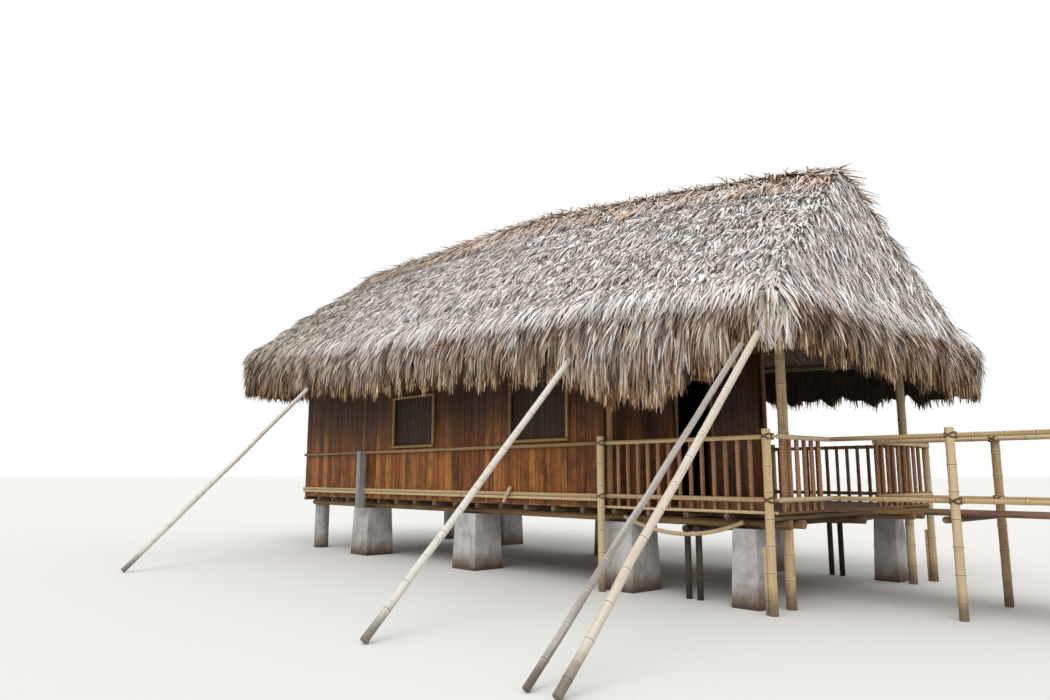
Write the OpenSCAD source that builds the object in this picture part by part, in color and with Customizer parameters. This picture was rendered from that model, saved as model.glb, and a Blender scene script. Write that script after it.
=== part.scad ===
// Thatched stilt house: a board-walled room and an open porch under one drooping palm-leaf roof,
// on block piers in shallow water, with long bamboo props under the eave.
// Millimetres. X runs along the front from left to right, the front faces -Y, Z is up from the water.

/* [Plan] */
// Length of the closed room along the front
room_l = 9250; // [7000:50:12000]
// Length of the open porch along the front
porch_l = 2800; // [2000:50:4000]
// Depth of the floor from front to back
depth = 4400; // [3600:50:5600]
// Clearance left between round poles that bear on each other
seat = 0.3; // [0.2:0.1:0.6]

/* [Piers] */
// Height of the block piers above the water
pier_h = 960; // [600:10:1500]
// Width of a pier at its foot
pier_w = 640; // [400:10:800]
// Width of the smaller pier under the porch end
end_pier_w = 400; // [300:10:600]
// How much narrower a pier is at its top
pier_taper = 60; // [0:5:120]
// Distance between pier centres along the front
pier_pitch = 3525; // [2600:10:4000]
// Distance from the porch end to the centre of the last full pier bay
pier_inset = 2650; // [1800:10:3200]
// Distance from the porch end to the centre of the smaller pier
end_pier_in = 545; // [300:5:900]

/* [Floor] */
// Diameter of the long bearers on the piers
bearer_d = 110; // [80:5:160]
// Diameter of the joists across the bearers
joist_d = 80; // [50:5:120]
// Spacing of the joists
joist_pitch = 600; // [400:10:900]
// How far the joist ends show beyond the front and back faces
joist_tail = 30; // [20:5:150]
// Thickness of the floor boards
deck_t = 30; // [18:1:50]

/* [Walls] */
// Height of the board walls from floor to plate
wall_h = 2850; // [2300:10:3200]
// Thickness of the board walls
wall_t = 50; // [30:1:90]
// Width of a window opening
window_w = 1280; // [700:10:1500]
// Height of a window opening
window_h = 900; // [600:10:1200]
// Height of a window opening's bottom over the floor
sill_h = 1010; // [700:10:1200]
// Left edge of the first window from the left wall
window_1_x = 3720; // [3000:10:4400]
// Left edge of the second window from the left wall
window_2_x = 7230; // [6400:10:7700]
// Diameter of the poles framing a window
window_pole_d = 55; // [35:1:80]
// Thickness of a shutter board
shutter_t = 22; // [15:1:40]
// Width of the doorway between room and porch
door_w = 900; // [700:10:1200]
// Height of that doorway
door_h = 2000; // [1800:10:2200]
// Diameter of the corner poles of the walls
wall_post_d = 90; // [70:5:130]
// Width of the square grey post in the front wall
grey_post_w = 150; // [100:5:200]
// Height of the square grey post over its pier
grey_post_h = 1150; // [800:10:1600]
// Position of the square grey post from the left wall
grey_post_x = 2590; // [2000:10:3200]

/* [Rails] */
// Diameter of the culm that runs below the lower rail of the wall
foot_culm_d = 50; // [30:1:60]
// Diameter of the culm along the porch floor's edge
edge_culm_d = 40; // [25:1:60]
// Diameter of the straw-coloured rails
rail_d = 60; // [40:1:80]
// Height of the lower rail's centre over the floor
low_rail_h = 145; // [110:5:300]
// Height of the hand rail's centre over the floor
hand_rail_h = 900; // [800:5:1100]
// Diameter of the upright bamboos in the railing
baluster_d = 57; // [30:1:60]
// Spacing of the upright bamboos
baluster_pitch = 180; // [130:1:300]
// Diameter of the railing's end posts
rail_post_d = 105; // [70:1:130]
// Height of the kick board behind the lower rail
kick_h = 150; // [80:5:200]
// Thickness of the kick board
kick_t = 20; // [12:1:30]
// Diameter of the porch roof posts
roof_post_d = 125; // [80:5:150]
// Distance of the porch roof posts from the porch front
roof_post_y = 445; // [300:5:800]
// Distance of the porch roof posts from the porch end
roof_post_in = 145; // [130:5:300]
// Length of the kick board along the porch front
kick_l = 1300; // [800:10:2000]

/* [Roof frame] */
// Diameter of the wall plates
plate_d = 120; // [90:5:160]
// Diameter of the rafters
rafter_d = 90; // [60:5:120]
// Diameter of the roof battens
batten_d = 50; // [30:1:70]
// Diameter of the ridge pole
ridge_d = 120; // [90:5:160]
// Rafters on each long slope
rafter_count = 15; // [9:1:21]
// Battens on each slope
batten_count = 6; // [4:1:9]
// Roof rise from eave to ridge
roof_rise = 2670; // [2200:10:3200]
// Overhang of the eave at front and back
eave_over = 650; // [450:10:900]
// Overhang of the roof past the left wall
left_over = 1560; // [900:10:2000]
// Overhang of the roof past the porch end
right_over = 450; // [350:10:900]
// Distance of the ridge's left end inside the left wall, less than nothing where it runs past it
ridge_in_left = -900; // [-1100:10:600]
// Distance of the ridge's right end inside the porch end, in the same way
ridge_in_right = 50; // [-200:10:600]
// Fall of the ridge towards the porch end
ridge_fall = 720; // [300:10:900]
// Fall of the eave towards the porch end
eave_fall = 330; // [100:10:500]
// Share of the length at which the roof starts to fall
fall_start = 0.53; // [0.45:0.01:0.65]

/* [Thatch] */
// Thickness of the thatch at the eave, measured upright
thatch_eave = 420; // [300:10:550]
// Thickness of the thatch at the ridge, measured upright
thatch_ridge = 330; // [250:10:450]
// Extra thickness in the middle of a slope
thatch_swell = 120; // [0:10:200]
// Step at the lower edge of each course
course_step = 60; // [20:5:100]
// Courses on each slope
course_count = 6; // [4:1:8]
// Extra thickness of the thatch along the eave at the left end
left_swell = 550; // [0:10:700]
// Share of the length over which that extra thickness fades out
swell_end = 0.47; // [0.3:0.01:0.5]
// Thickness of the hanging fringe
fringe_t = 170; // [100:10:250]
// Length that the fringe hangs below the eave
fringe_drop = 560; // [350:10:800]
// Extra length where the fringe droops over the porch
fringe_sag = 350; // [0:10:700]
// Length of a leaf tip at the fringe's ragged edge
leaf_tip = 110; // [40:5:200]
// Thickness of the ridge cap
cap_t = 120; // [80:10:260]

/* [Props] */
// Diameters of the long bamboo props
prop_ds = [85, 80, 66, 85]; // [55:1:130]
// Distance of the props' feet in front of the house
prop_reach = 4500; // [3000:50:6000]
// Distances of the prop tops from the porch end, towards the room
prop_top_in = [2630, -350, -130, 10450]; // [-1000:10:12000]
// Heights of the prop tops over the water
prop_top_h = [3210, 3210, 3100, 3420]; // [2600:10:3800]
// Distances of the prop feet from the porch end, towards the room
prop_foot_in = [1870, -810, -480, 9650]; // [-1500:10:12000]

/* [Under the porch] */
// Diameter of the dark posts that carry the cross logs
stub_post_d = 85; // [60:5:140]
// Diameter of the cross logs
stub_log_d = 95; // [70:5:140]
// Distances of the cross logs from the porch end
stub_in = [1530, 1350]; // [700:10:2000]
// Diameter of the slack bamboo that lies on the last two piers
slack_d = 55; // [40:1:80]
// How far it sags between them
slack_sag = 140; // [40:5:200]
// Length of its ends beyond the edges of the piers
slack_end = 150; // [100:10:250]
// Diameter of the thin bamboo beside the corner post
stay_d = 48; // [30:1:70]
// Height of that bamboo over the water
stay_h = 780; // [500:10:1100]

/* [Walkway] */
// Length of a walkway bay
walk_bay = 1600; // [1200:50:2200]
// Bays of the walkway
walk_bays = 2; // [1:1:6]
// Width of the walkway
walk_w = 1250; // [900:10:1600]
// Distance of the walkway from the house front
walk_y = 1300; // [900:10:1500]

/* [Hidden] */

house_l = room_l + porch_l;
bearer_z = pier_h + seat + bearer_d / 2;
joist_z = bearer_z + bearer_d / 2 + seat + joist_d / 2;
deck_z = joist_z + joist_d / 2 + seat;
floor_z = deck_z + deck_t;
plate_z = floor_z + wall_h + seat + plate_d / 2;
low_rail_z = floor_z + low_rail_h;
hand_rail_z = floor_z + hand_rail_h;
mid_y = depth / 2;
ridge_half = 60;
segments = 32;
walk_l = walk_bay * walk_bays;
walk_end = house_l + walk_l;
shift_x = -(walk_end - left_over - fringe_t) / 2;
shift_y = (prop_reach - depth - eave_over - fringe_t) / 2;

// Plan and height of the thatch's underside
slope_run = mid_y - ridge_half + eave_over;
frame_stack = batten_d + rafter_d + plate_d / 2 + 3 * seat;
slope_angle = atan(roof_rise / slope_run);
plate_line_z = plate_z + frame_stack / cos(slope_angle);
plate_in = wall_t / 2;
eave_z = plate_line_z - (eave_over + plate_in) * tan(slope_angle);
ridge_z = eave_z + roof_rise;
ridge_x0 = ridge_in_left;
ridge_x1 = house_l - ridge_in_right;

function mix(a, b, t) = a + (b - a) * t;
function unit(v) = v / norm(v);
function fall(u) = max(0, (u - fall_start) / (1 - fall_start));

// Point of the thatch's underside: u runs along the eave, s runs up the slope
function front_at(u, s) = [
    mix(mix(-left_over, house_l + right_over, u), mix(ridge_x0, ridge_x1, u), s),
    mix(-eave_over, mid_y - ridge_half, s),
    mix(eave_z - eave_fall * fall(u), ridge_z - ridge_fall * fall(u), s)];
function back_at(u, s) = let (p = front_at(u, s)) [p.x, depth - p.y, p.z];
// The same on the two hipped ends: v runs from the front corner to the back corner
function end_at(u, v, s) = let (a = front_at(u, s), b = back_at(u, s)) mix(a, b, v);

// Outward normals of the slopes
small = 0.001;
function normal_of(o, a, b) = unit(cross(a - o, b - o));
function front_normal(u, s) = let (w = u > 0.5 ? -small : small)
    sign(w) * normal_of(front_at(u, s), front_at(u + w, s), front_at(u, s + (s > 0.5 ? -small : small)))
    * (s > 0.5 ? -1 : 1);
function back_normal(u, s) = let (n = front_normal(u, s)) [n.x, -n.y, n.z];
function end_normal(u, v, s) = let (
    n = unit(cross(end_at(u, 1, s) - end_at(u, 0, s), end_at(u, 0.5, 1) - end_at(u, 0.5, 0))))
    n.z < 0 ? -n : n;
function front_line(u, s, off) = front_at(u, s) - front_normal(u, s) * off;
function back_line(u, s, off) = back_at(u, s) - back_normal(u, s) * off;
function end_line(u, v, s, off) = end_at(u, v, s) - end_normal(u, v, s) * off;
batten_off = seat + batten_d / 2;
rafter_off = seat + batten_d + seat + rafter_d / 2;

module in_frame() { translate([shift_x, shift_y, 0]) children(); }

// A round pole between two points
module pole(a, b, d) {
    v = b - a;
    translate(a)
        rotate([0, atan2(norm([v.x, v.y]), v.z), atan2(v.y, v.x)])
            cylinder(h = norm(v), d = d, $fn = segments);
}

// A sloping pole whose square end butts on the end of a level one at a
module butted_pole(a, b, d) {
    way = unit(b - a);
    pole(a + way * (seat + d / 2 * abs(way.z) / norm([way.x, way.y])), b, d);
}

// A closed skin between two grids of points with the same rows and columns
module between(outer, inner) {
    rows = len(outer);
    cols = len(outer[0]);
    count = rows * cols;
    function at(i, j) = i * cols + j;
    points = concat([for (r = outer) for (p = r) p], [for (r = inner) for (p = r) p]);
    skin = [for (i = [0:rows - 2]) for (j = [0:cols - 2]) each [
        [at(i, j), at(i + 1, j), at(i + 1, j + 1)], [at(i, j), at(i + 1, j + 1), at(i, j + 1)],
        [count + at(i, j), count + at(i + 1, j + 1), count + at(i + 1, j)],
        [count + at(i, j), count + at(i, j + 1), count + at(i + 1, j + 1)]]];
    ends = [for (j = [0:cols - 2]) each [
        [at(0, j), at(0, j + 1), count + at(0, j + 1)], [at(0, j), count + at(0, j + 1), count + at(0, j)],
        [at(rows - 1, j), count + at(rows - 1, j + 1), at(rows - 1, j + 1)],
        [at(rows - 1, j), count + at(rows - 1, j), count + at(rows - 1, j + 1)]]];
    sides = [for (i = [0:rows - 2]) each [
        [at(i, 0), count + at(i, 0), count + at(i + 1, 0)], [at(i, 0), count + at(i + 1, 0), at(i + 1, 0)],
        [at(i, cols - 1), count + at(i + 1, cols - 1), count + at(i, cols - 1)],
        [at(i, cols - 1), at(i + 1, cols - 1), count + at(i + 1, cols - 1)]]];
    polyhedron(points, concat(skin, ends, sides), convexity = 6);
}

// Piers

module pier(x, y, w) translate([x, y, 0])
    linear_extrude(pier_h, scale = (w - pier_taper) / w) square(w, center = true);

pier_xs = [for (i = [2:-1:0]) house_l - pier_inset - i * pier_pitch];
end_pier_x = house_l - end_pier_in;
pier_row_y = pier_w / 2 + rail_post_d / 2;
end_pier_y = pier_row_y - (pier_w - end_pier_w) / 2;

module left_slab_post(y) {
    translate([pier_w / 4, y, 0]) cylinder(h = pier_h, d = pier_w / 2, $fn = segments);
}

module pier_row(y, end_y) {
    for (x = pier_xs) pier(x, y, pier_w);
    pier(end_pier_x, end_y, end_pier_w);
    left_slab_post(y);
}
module front_piers() in_frame() color("#b9b8b2") pier_row(pier_row_y, end_pier_y);
module back_piers() in_frame() color("#b9b8b2") pier_row(depth - pier_row_y, depth - end_pier_y);

// Floor

bearer_ys = [pier_row_y - bearer_d, pier_row_y + 2 * bearer_d, mid_y, depth - pier_row_y - 2 * bearer_d,
    depth - pier_row_y + bearer_d];

// Cross logs under the bearers of the porch, on posts below the outermost bearers
stub_log_z = bearer_z - bearer_d / 2 - seat - stub_log_d / 2;
stub_log_y = bearer_ys[0] - bearer_d / 2;
module stub_logs() in_frame() color("#5b4a3c")
    for (x = stub_in)
        pole([house_l - x, stub_log_y, stub_log_z],
            [house_l - x, depth - stub_log_y, stub_log_z], stub_log_d);
module stub_posts() in_frame() color("#4c4038")
    for (x = stub_in) for (y = [bearer_ys[0], depth - bearer_ys[0]]) translate([house_l - x, y, 0])
        cylinder(h = stub_log_z - stub_log_d / 2 - seat, d = stub_post_d, $fn = segments);

module floor_bearers() in_frame() color("#a58a5c")
    for (y = bearer_ys) pole([0, y, bearer_z], [house_l, y, bearer_z], bearer_d);

joist_count = floor((house_l - 2 * joist_d) / joist_pitch);
// A joist has no tails where the square grey post stands in front of it
module floor_joists() in_frame() color("#b0945f")
    for (i = [0:joist_count]) let (x = joist_d + i * (house_l - 2 * joist_d) / joist_count,
            tail = abs(x - grey_post_x) < (grey_post_w + joist_d) / 2 + seat ? 0 : joist_tail)
        pole([x, -tail, joist_z], [x, depth + tail, joist_z], joist_d);

module floor_deck() in_frame() color("#8d6b45")
    translate([0, 0, deck_z]) cube([house_l, depth, deck_t]);

// The culm under the lower rail of the wall, and the one that closes the porch floor's edge
wall_culm_z = low_rail_z - (rail_d + foot_culm_d) / 2 - seat;
edge_culm_z = deck_z + edge_culm_d / 2 + seat;
module edge_bamboos() in_frame() color("#c2a566") for (side = [0, 1]) translate([0, side * depth, 0])
    mirror([0, side, 0]) {
        wall_y = -foot_culm_d / 2 - seat;
        edge_y = -edge_culm_d / 2 - seat;
        for (s = wall_rail_spans) pole([s[0], wall_y, wall_culm_z], [s[1], wall_y, wall_culm_z], foot_culm_d);
        pole([room_l + seat, edge_y, edge_culm_z], [house_l, edge_y, edge_culm_z], edge_culm_d);
    }

// Walls

// Height of the wall plate's underside along the front
plate_s = (eave_over + plate_in) / slope_run;
function wall_u(x) = let (
    x0 = mix(-left_over, ridge_x0, plate_s), x1 = mix(house_l + right_over, ridge_x1, plate_s))
    (x - x0) / (x1 - x0);
function plate_line(u, back) = let (
    p = front_at(u, plate_s), n = front_normal(u, plate_s))
    [p.x, back ? depth - plate_in : plate_in, p.z - frame_stack / cos(atan2(-n.y, n.z))];
function plate_under(x) = plate_line(wall_u(x), false).z - plate_d / 2 - seat;
fall_x = mix(mix(-left_over, house_l + right_over, fall_start), mix(ridge_x0, ridge_x1, fall_start), plate_s);

module wall_outline() polygon([[0, floor_z], [room_l, floor_z], [room_l, plate_under(room_l)],
    [fall_x, plate_under(fall_x)], [0, plate_under(0)]]);
module window_holes() for (x = [window_1_x, window_2_x])
    translate([x, floor_z + sill_h]) square([window_w, window_h]);

module long_wall(y) translate([0, y, 0]) rotate([90, 0, 0]) linear_extrude(wall_t)
    difference() { wall_outline(); window_holes(); }

module front_wall() in_frame() color("#9c5a34") long_wall(wall_t);
module back_wall() in_frame() color("#9c5a34") long_wall(depth);

module cross_slab(x, y0, y1, z0, z1) translate([x, y0, z0]) cube([wall_t, y1 - y0, z1 - z0]);
end_y0 = wall_t;
end_y1 = depth - wall_t;
end_top = plate_under(0);
porch_top = plate_under(room_l);
door_y0 = mid_y - door_w / 2;
door_y1 = mid_y + door_w / 2;
module left_wall() in_frame() color("#95552f") cross_slab(0, end_y0, end_y1, floor_z, end_top);
module porch_wall_front() in_frame() color("#8a4f2d")
    cross_slab(room_l - wall_t, end_y0, door_y0, floor_z, porch_top);
module porch_wall_back() in_frame() color("#8a4f2d")
    cross_slab(room_l - wall_t, door_y1, end_y1, floor_z, porch_top);
module porch_wall_head() in_frame() color("#8a4f2d")
    cross_slab(room_l - wall_t, door_y0, door_y1, floor_z + door_h, porch_top);

// Bamboo jambs and head round the doorway, on its porch side
module door_frame() in_frame() color("#c9a968") {
    x = room_l + window_pole_d / 2 + seat;
    top = floor_z + door_h;
    for (y = [door_y0 - window_pole_d / 2, door_y1 + window_pole_d / 2])
        pole([x, y, floor_z], [x, y, top - seat], window_pole_d);
    pole([x, door_y0 - 2 * window_pole_d, top + window_pole_d / 2],
        [x, door_y1 + 2 * window_pole_d, top + window_pole_d / 2], window_pole_d);
}

// Windows: a bamboo frame on the outer face, and a board shutter that closes the hole
module window_frame(x) {
    z0 = floor_z + sill_h;
    z1 = z0 + window_h;
    y = -window_pole_d / 2 - seat;
    lap = window_pole_d;
    for (z = [z0 - window_pole_d / 2, z1 + window_pole_d / 2])
        pole([x - lap, y, z], [x + window_w + lap, y, z], window_pole_d);
    for (px = [x - window_pole_d / 2, x + window_w + window_pole_d / 2])
        pole([px, y, z0 + seat], [px, y, z1 - seat], window_pole_d);
}
module window_frames() in_frame() color("#c9a968") {
    for (x = [window_1_x, window_2_x]) {
        window_frame(x);
        translate([0, depth, 0]) mirror([0, 1, 0]) window_frame(x);
    }
}
module window_shutters() in_frame() color("#5a3a26")
    for (x = [window_1_x, window_2_x]) for (y = [(wall_t - shutter_t) / 2, depth - (wall_t + shutter_t) / 2])
        translate([x, y, floor_z + sill_h]) cube([window_w, shutter_t, window_h]);

module corner_pole(x, y, top) pole([x, y, floor_z], [x, y, top], wall_post_d);
module wall_posts() in_frame() color("#7d5232") {
    inset = wall_t + wall_post_d / 2 + seat;
    for (y = [inset, depth - inset]) {
        corner_pole(room_l + wall_post_d / 2 + seat, y, porch_top);
        corner_pole(inset, y, end_top);
        corner_pole(room_l - inset, y, porch_top);
    }
}

module grey_post() in_frame() color("#8c8b86")
    for (y = [-grey_post_w - seat, depth + seat])
        translate([grey_post_x - grey_post_w / 2, y, pier_h]) cube([grey_post_w, grey_post_w, grey_post_h]);

rail_y = -rail_d / 2 - seat;
wall_rail_spans = [[0, grey_post_x - grey_post_w / 2], [grey_post_x + grey_post_w / 2, room_l]];
module wall_rail_row(z) for (s = wall_rail_spans) for (y = [rail_y, depth - rail_y])
    pole([s[0], y, z], [s[1], y, z], rail_d);
module low_wall_rails() in_frame() color("#cdb072") wall_rail_row(low_rail_z);
module hand_wall_rails() in_frame() color("#cdb072") wall_rail_row(hand_rail_z);

// Porch railing

rail_post_xs = [room_l + rail_post_d / 2, house_l - rail_post_d / 2];
rail_post_top = hand_rail_z + 1.5 * rail_d;
post_y = -rail_d - 2 * seat - rail_post_d / 2;
module rail_posts() in_frame() color("#c8aa6a") {
    for (x = rail_post_xs) for (y = [post_y, depth - post_y])
        pole([x, y, 0], [x, y, rail_post_top], rail_post_d);
    stay_x = rail_post_xs[1] - rail_post_d / 2 - seat - stay_d / 2;
    for (y = [post_y, depth - post_y]) pole([stay_x, y, 0], [stay_x, y, stay_h], stay_d);
}

module porch_rail_run(z) {
    for (y = [rail_y, depth - rail_y]) pole([room_l + seat, y, z], [house_l, y, z], rail_d);
    for (s = [[0, walk_y], [walk_y + walk_w, depth]])
        pole([house_l + rail_d / 2 + seat, s[0], z], [house_l + rail_d / 2 + seat, s[1], z], rail_d);
}
module porch_low_rails() in_frame() color("#cdb072") porch_rail_run(low_rail_z);
module porch_hand_rails() in_frame() color("#cdb072") porch_rail_run(hand_rail_z);

baluster_z1 = hand_rail_z + rail_d / 2;
front_baluster_count = floor((porch_l - 3 * rail_post_d) / baluster_pitch);
module baluster(x, y) pole([x, y, floor_z], [x, y, baluster_z1], baluster_d);
module front_balusters() in_frame() color("#96532f")
    for (i = [1:front_baluster_count]) for (y = [baluster_d / 2, depth - baluster_d / 2])
        baluster(room_l + wall_post_d + i * baluster_pitch, y);
module end_balusters() in_frame() color("#96532f") {
    n = floor((walk_y - 2 * baluster_pitch) / baluster_pitch);
    for (i = [0:n]) baluster(house_l - baluster_d / 2, baluster_pitch * (i + 1));
    m = floor((depth - walk_y - walk_w - 2 * baluster_pitch) / baluster_pitch);
    for (i = [0:m]) baluster(house_l - baluster_d / 2, walk_y + walk_w + baluster_pitch * (i + 1));
}

module kick_board() in_frame() color("#8a5a3a")
    translate([house_l - 2 * rail_post_d - kick_l, baluster_d + seat, floor_z])
        cube([kick_l, kick_t, kick_h]);

// A bent bamboo that lies on the top edges of the last two piers, in front of the bearers
module slack_bamboo() in_frame() color("#b79c63") {
    edge_0 = pier_xs[len(pier_xs) - 1] + (pier_w - pier_taper) / 2;
    edge_1 = end_pier_x - (end_pier_w - pier_taper) / 2;
    half = (edge_1 - edge_0) / 2;
    radius = (half * half + slack_sag * slack_sag) / (2 * slack_sag);
    sweep = asin((half + slack_end) / radius);
    slack_y = rail_post_d / 2 + pier_taper / 2 + slack_d / 2 + 10;
    for (y = [slack_y, depth - slack_y])
        translate([(edge_0 + edge_1) / 2, y, pier_h + seat - slack_sag + radius])
            rotate([90, 90 + sweep, 0])
                rotate_extrude(angle = 2 * sweep, $fn = 360)
                    translate([radius - slack_d / 2, 0]) circle(d = slack_d, $fn = segments);
}

// Posts that carry the porch roof, set back from the railing, and the lengths below the floor
roof_post_x = house_l - roof_post_in;
module porch_roof_posts() in_frame() color("#a98b58")
    for (y = [roof_post_y, depth - roof_post_y])
        for (z = [[0, joist_z - joist_d / 2 - seat], [floor_z, plate_under(roof_post_x)]])
            pole([roof_post_x, y, z[0]], [roof_post_x, y, z[1]], roof_post_d);

// Roof frame

plate_end_u = wall_u(house_l);
module wall_plates() in_frame() color("#9a7d4c")
    for (back = [false, true]) {
        pole(plate_line(wall_u(0), back), plate_line(fall_start, back), plate_d);
        butted_pole(plate_line(fall_start, back), plate_line(plate_end_u, back), plate_d);
    }

end_plate_xs = [wall_t / 2, room_l - wall_t / 2, house_l - roof_post_in];
end_plate_y = plate_in + plate_d / 2 + seat;
module end_plates() in_frame() color("#9a7d4c")
    for (x = end_plate_xs) let (z = plate_line(wall_u(x), false).z)
        pole([x, end_plate_y, z], [x, depth - end_plate_y, z], plate_d);

ridge_stack = (rafter_d + ridge_d) / 2 + seat;
function apex(u) = let (p = front_line(u, 1, rafter_off), n = front_normal(u, 1), k = -n.y / n.z)
    [p.x, mid_y, p.z + (mid_y - p.y) * k];
function ridge_line(u) = let (p = apex(u), n = front_normal(u, 1))
    p - [0, 0, ridge_stack / cos(atan2(-n.y, n.z))];
// Share of the ridge by which its pole stops short of the battens of the ends
ridge_short = 0.006;
module ridge_pole() in_frame() color("#9a7d4c") {
    pole(ridge_line(ridge_short), ridge_line(fall_start), ridge_d);
    butted_pole(ridge_line(fall_start), ridge_line(1 - ridge_short), ridge_d);
}

module king_posts() in_frame() color("#9a7d4c")
    for (x = [room_l - wall_t / 2, roof_post_x])
        let (u = (x - ridge_x0) / (ridge_x1 - ridge_x0), way = unit(ridge_line(1) - ridge_line(fall_start)),
            z = plate_line(wall_u(x), false).z + plate_d / 2 + seat)
            pole([x, mid_y, z], [x, mid_y, ridge_line(u).z - (ridge_d / 2 - rafter_d / 2 * way.z) / way.x
                - seat], rafter_d);

rafter_us = [for (i = [0:rafter_count - 1]) mix(0.03, 0.985, i / (rafter_count - 1))];
module front_rafters() in_frame() color("#a98b58")
    for (u = rafter_us) pole(front_line(u, 0.02, rafter_off), front_line(u, 1, rafter_off), rafter_d);
module back_rafters() in_frame() color("#a98b58")
    for (u = rafter_us) pole(back_line(u, 0.02, rafter_off), back_line(u, 1, rafter_off), rafter_d);

module hip_rafters() in_frame() color("#a98b58")
    for (u = [0, 1]) for (v = [0.2:0.2:0.8])
        pole(end_line(u, v, 0.02, rafter_off), end_line(u, v, 0.75, rafter_off), rafter_d);

module roof_battens() in_frame() color("#b79a62")
    for (i = [0:batten_count - 1]) let (s = mix(0.03, 0.93, i / (batten_count - 1))) {
        for (r = [[0.02, fall_start - small], [fall_start + small, 0.99]]) {
            pole(front_line(r[0], s, batten_off), front_line(r[1], s, batten_off), batten_d);
            pole(back_line(r[0], s, batten_off), back_line(r[1], s, batten_off), batten_d);
        }
        for (u = [0, 1])
            pole(end_line(u, 0.06, s, batten_off), end_line(u, 0.94, s, batten_off), batten_d);
    }

// Thatch: courses of palm leaf laid up the slopes, each lipping over the one below

long_cols = 33;
end_cols = 11;
lip = 0.006;
// Rows up a slope, as [share of the slope, how far out of the course's thin end]
course_rows = concat([for (k = [0:course_count - 1]) each [
    [k == 0 ? 0 : k / course_count + lip, 1], [(k + 0.5) / course_count, 0.45],
    [(k + 1) / course_count - (k == course_count - 1 ? 0 : lip), 0]]]);
function near_edge(t) = pow(max(0, 1 - min(t, 1 - t) / 0.12), 2);
function wave(a, b) = sin(a * 137 + b * 71) * cos(a * 59 - b * 113);
function thatch_t(row, t) = (mix(thatch_eave, thatch_ridge, row[0]) + thatch_swell * sin(180 * row[0])
    + course_step * row[1] + 12 * wave(row[0] * 9, t * 40)) * (1 - 0.22 * near_edge(t));
function edge_t(row) = (mix(thatch_eave, thatch_ridge, row[0]) + thatch_swell * sin(180 * row[0])
    + course_step * row[1]) * 0.78;
function swell_at(u) = left_swell * pow(max(0, 1 - u / swell_end), 1.4);
function raised(p, row, t, swell) =
    p + [0, 0, (t == 0 || t == 1 ? edge_t(row) : thatch_t(row, t)) + swell * (1 - row[0])];
// Columns along the front, with one at the place where the roof starts to fall
front_us = [for (j = [0:long_cols]) let (u = j / long_cols, k = round(fall_start * long_cols))
    j == k ? fall_start : u];
end_vs = [for (j = [0:end_cols]) j / end_cols];

function front_outer(row) = [for (u = front_us) raised(front_at(u, row[0]), row, u, swell_at(u))];
function end_outer(e, row) = [for (v = end_vs) raised(end_at(e, v, row[0]), row, v, swell_at(e))];

module thatch_slope()
    between([for (r = course_rows) [for (p = front_outer(r)) p]],
        [for (r = course_rows) [for (u = front_us) front_at(u, r[0])]]);
module thatch_end(e)
    between([for (r = course_rows) end_outer(e, r)],
        [for (r = course_rows) [for (v = end_vs) end_at(e, v, r[0])]]);

module thatch_front() in_frame() color("#b3a68f") mirror([0, 0, 0]) thatch_slope();
module thatch_back() in_frame() color("#b3a68f")
    translate([0, depth, 0]) mirror([0, 1, 0]) thatch_slope();
module thatch_left() in_frame() color("#b3a68f") thatch_end(0);
module thatch_right() in_frame() color("#b3a68f") thatch_end(1);

// Fringe: leaves tied along the eave that hang in a ragged curtain

fringe_cols = 72;
end_fringe_cols = 26;
sag_u = 0.861;
function sag_at(u) = fringe_sag * exp(-pow((u - sag_u) / 0.064, 4))
    - 0.45 * fringe_drop * max(0, (u - 0.93) / 0.07);
function tip_at(j) = leaf_tip * (j % 2 == 0 ? 0.5 + 0.5 * sin(j * 97) : -0.5 - 0.5 * sin(j * 61));
// Rows down the fringe, as [share of its thickness, share of its height]
fringe_rows = [[0.35, 0], [0.85, 0.1], [1, 0.35], [1, 1]];
fringe_thin = 0.4;
// Share of the thatch's extra thickness by which the fringe hangs less low
fringe_lift = 0.7;
function fringe_column(p, out, drop, tip, swell) = [for (r = fringe_rows)
    let (top = p.z + (thatch_eave + course_step) * 0.78 + swell,
        foot = p.z - drop - tip + swell * fringe_lift)
        [p.x + out.x * fringe_t * r[0], p.y + out.y * fringe_t * r[0], mix(top, foot, r[1])]];
function fringe_back_column(p, out, drop, tip, swell) = [for (r = fringe_rows)
    let (top = p.z + thatch_eave * 0.78 + swell, foot = p.z - drop - tip + swell * fringe_lift,
        thin = r[1] == 1 ? fringe_t * fringe_thin : 0)
        [p.x + out.x * thin, p.y + out.y * thin, mix(top, foot, r[1])]];
function by_rows(columns) = [for (i = [0:len(columns[0]) - 1]) [for (c = columns) c[i]]];
corner_out = 0.8;

module fringe_along(points, outs, drops, tips, swells) {
    n = len(points) - 1;
    between(by_rows([for (j = [n:-1:0]) fringe_column(points[j], outs[j], drops[j], tips[j], swells[j])]),
        by_rows([for (j = [n:-1:0]) fringe_back_column(points[j], outs[j], drops[j], tips[j], swells[j])]));
}

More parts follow.
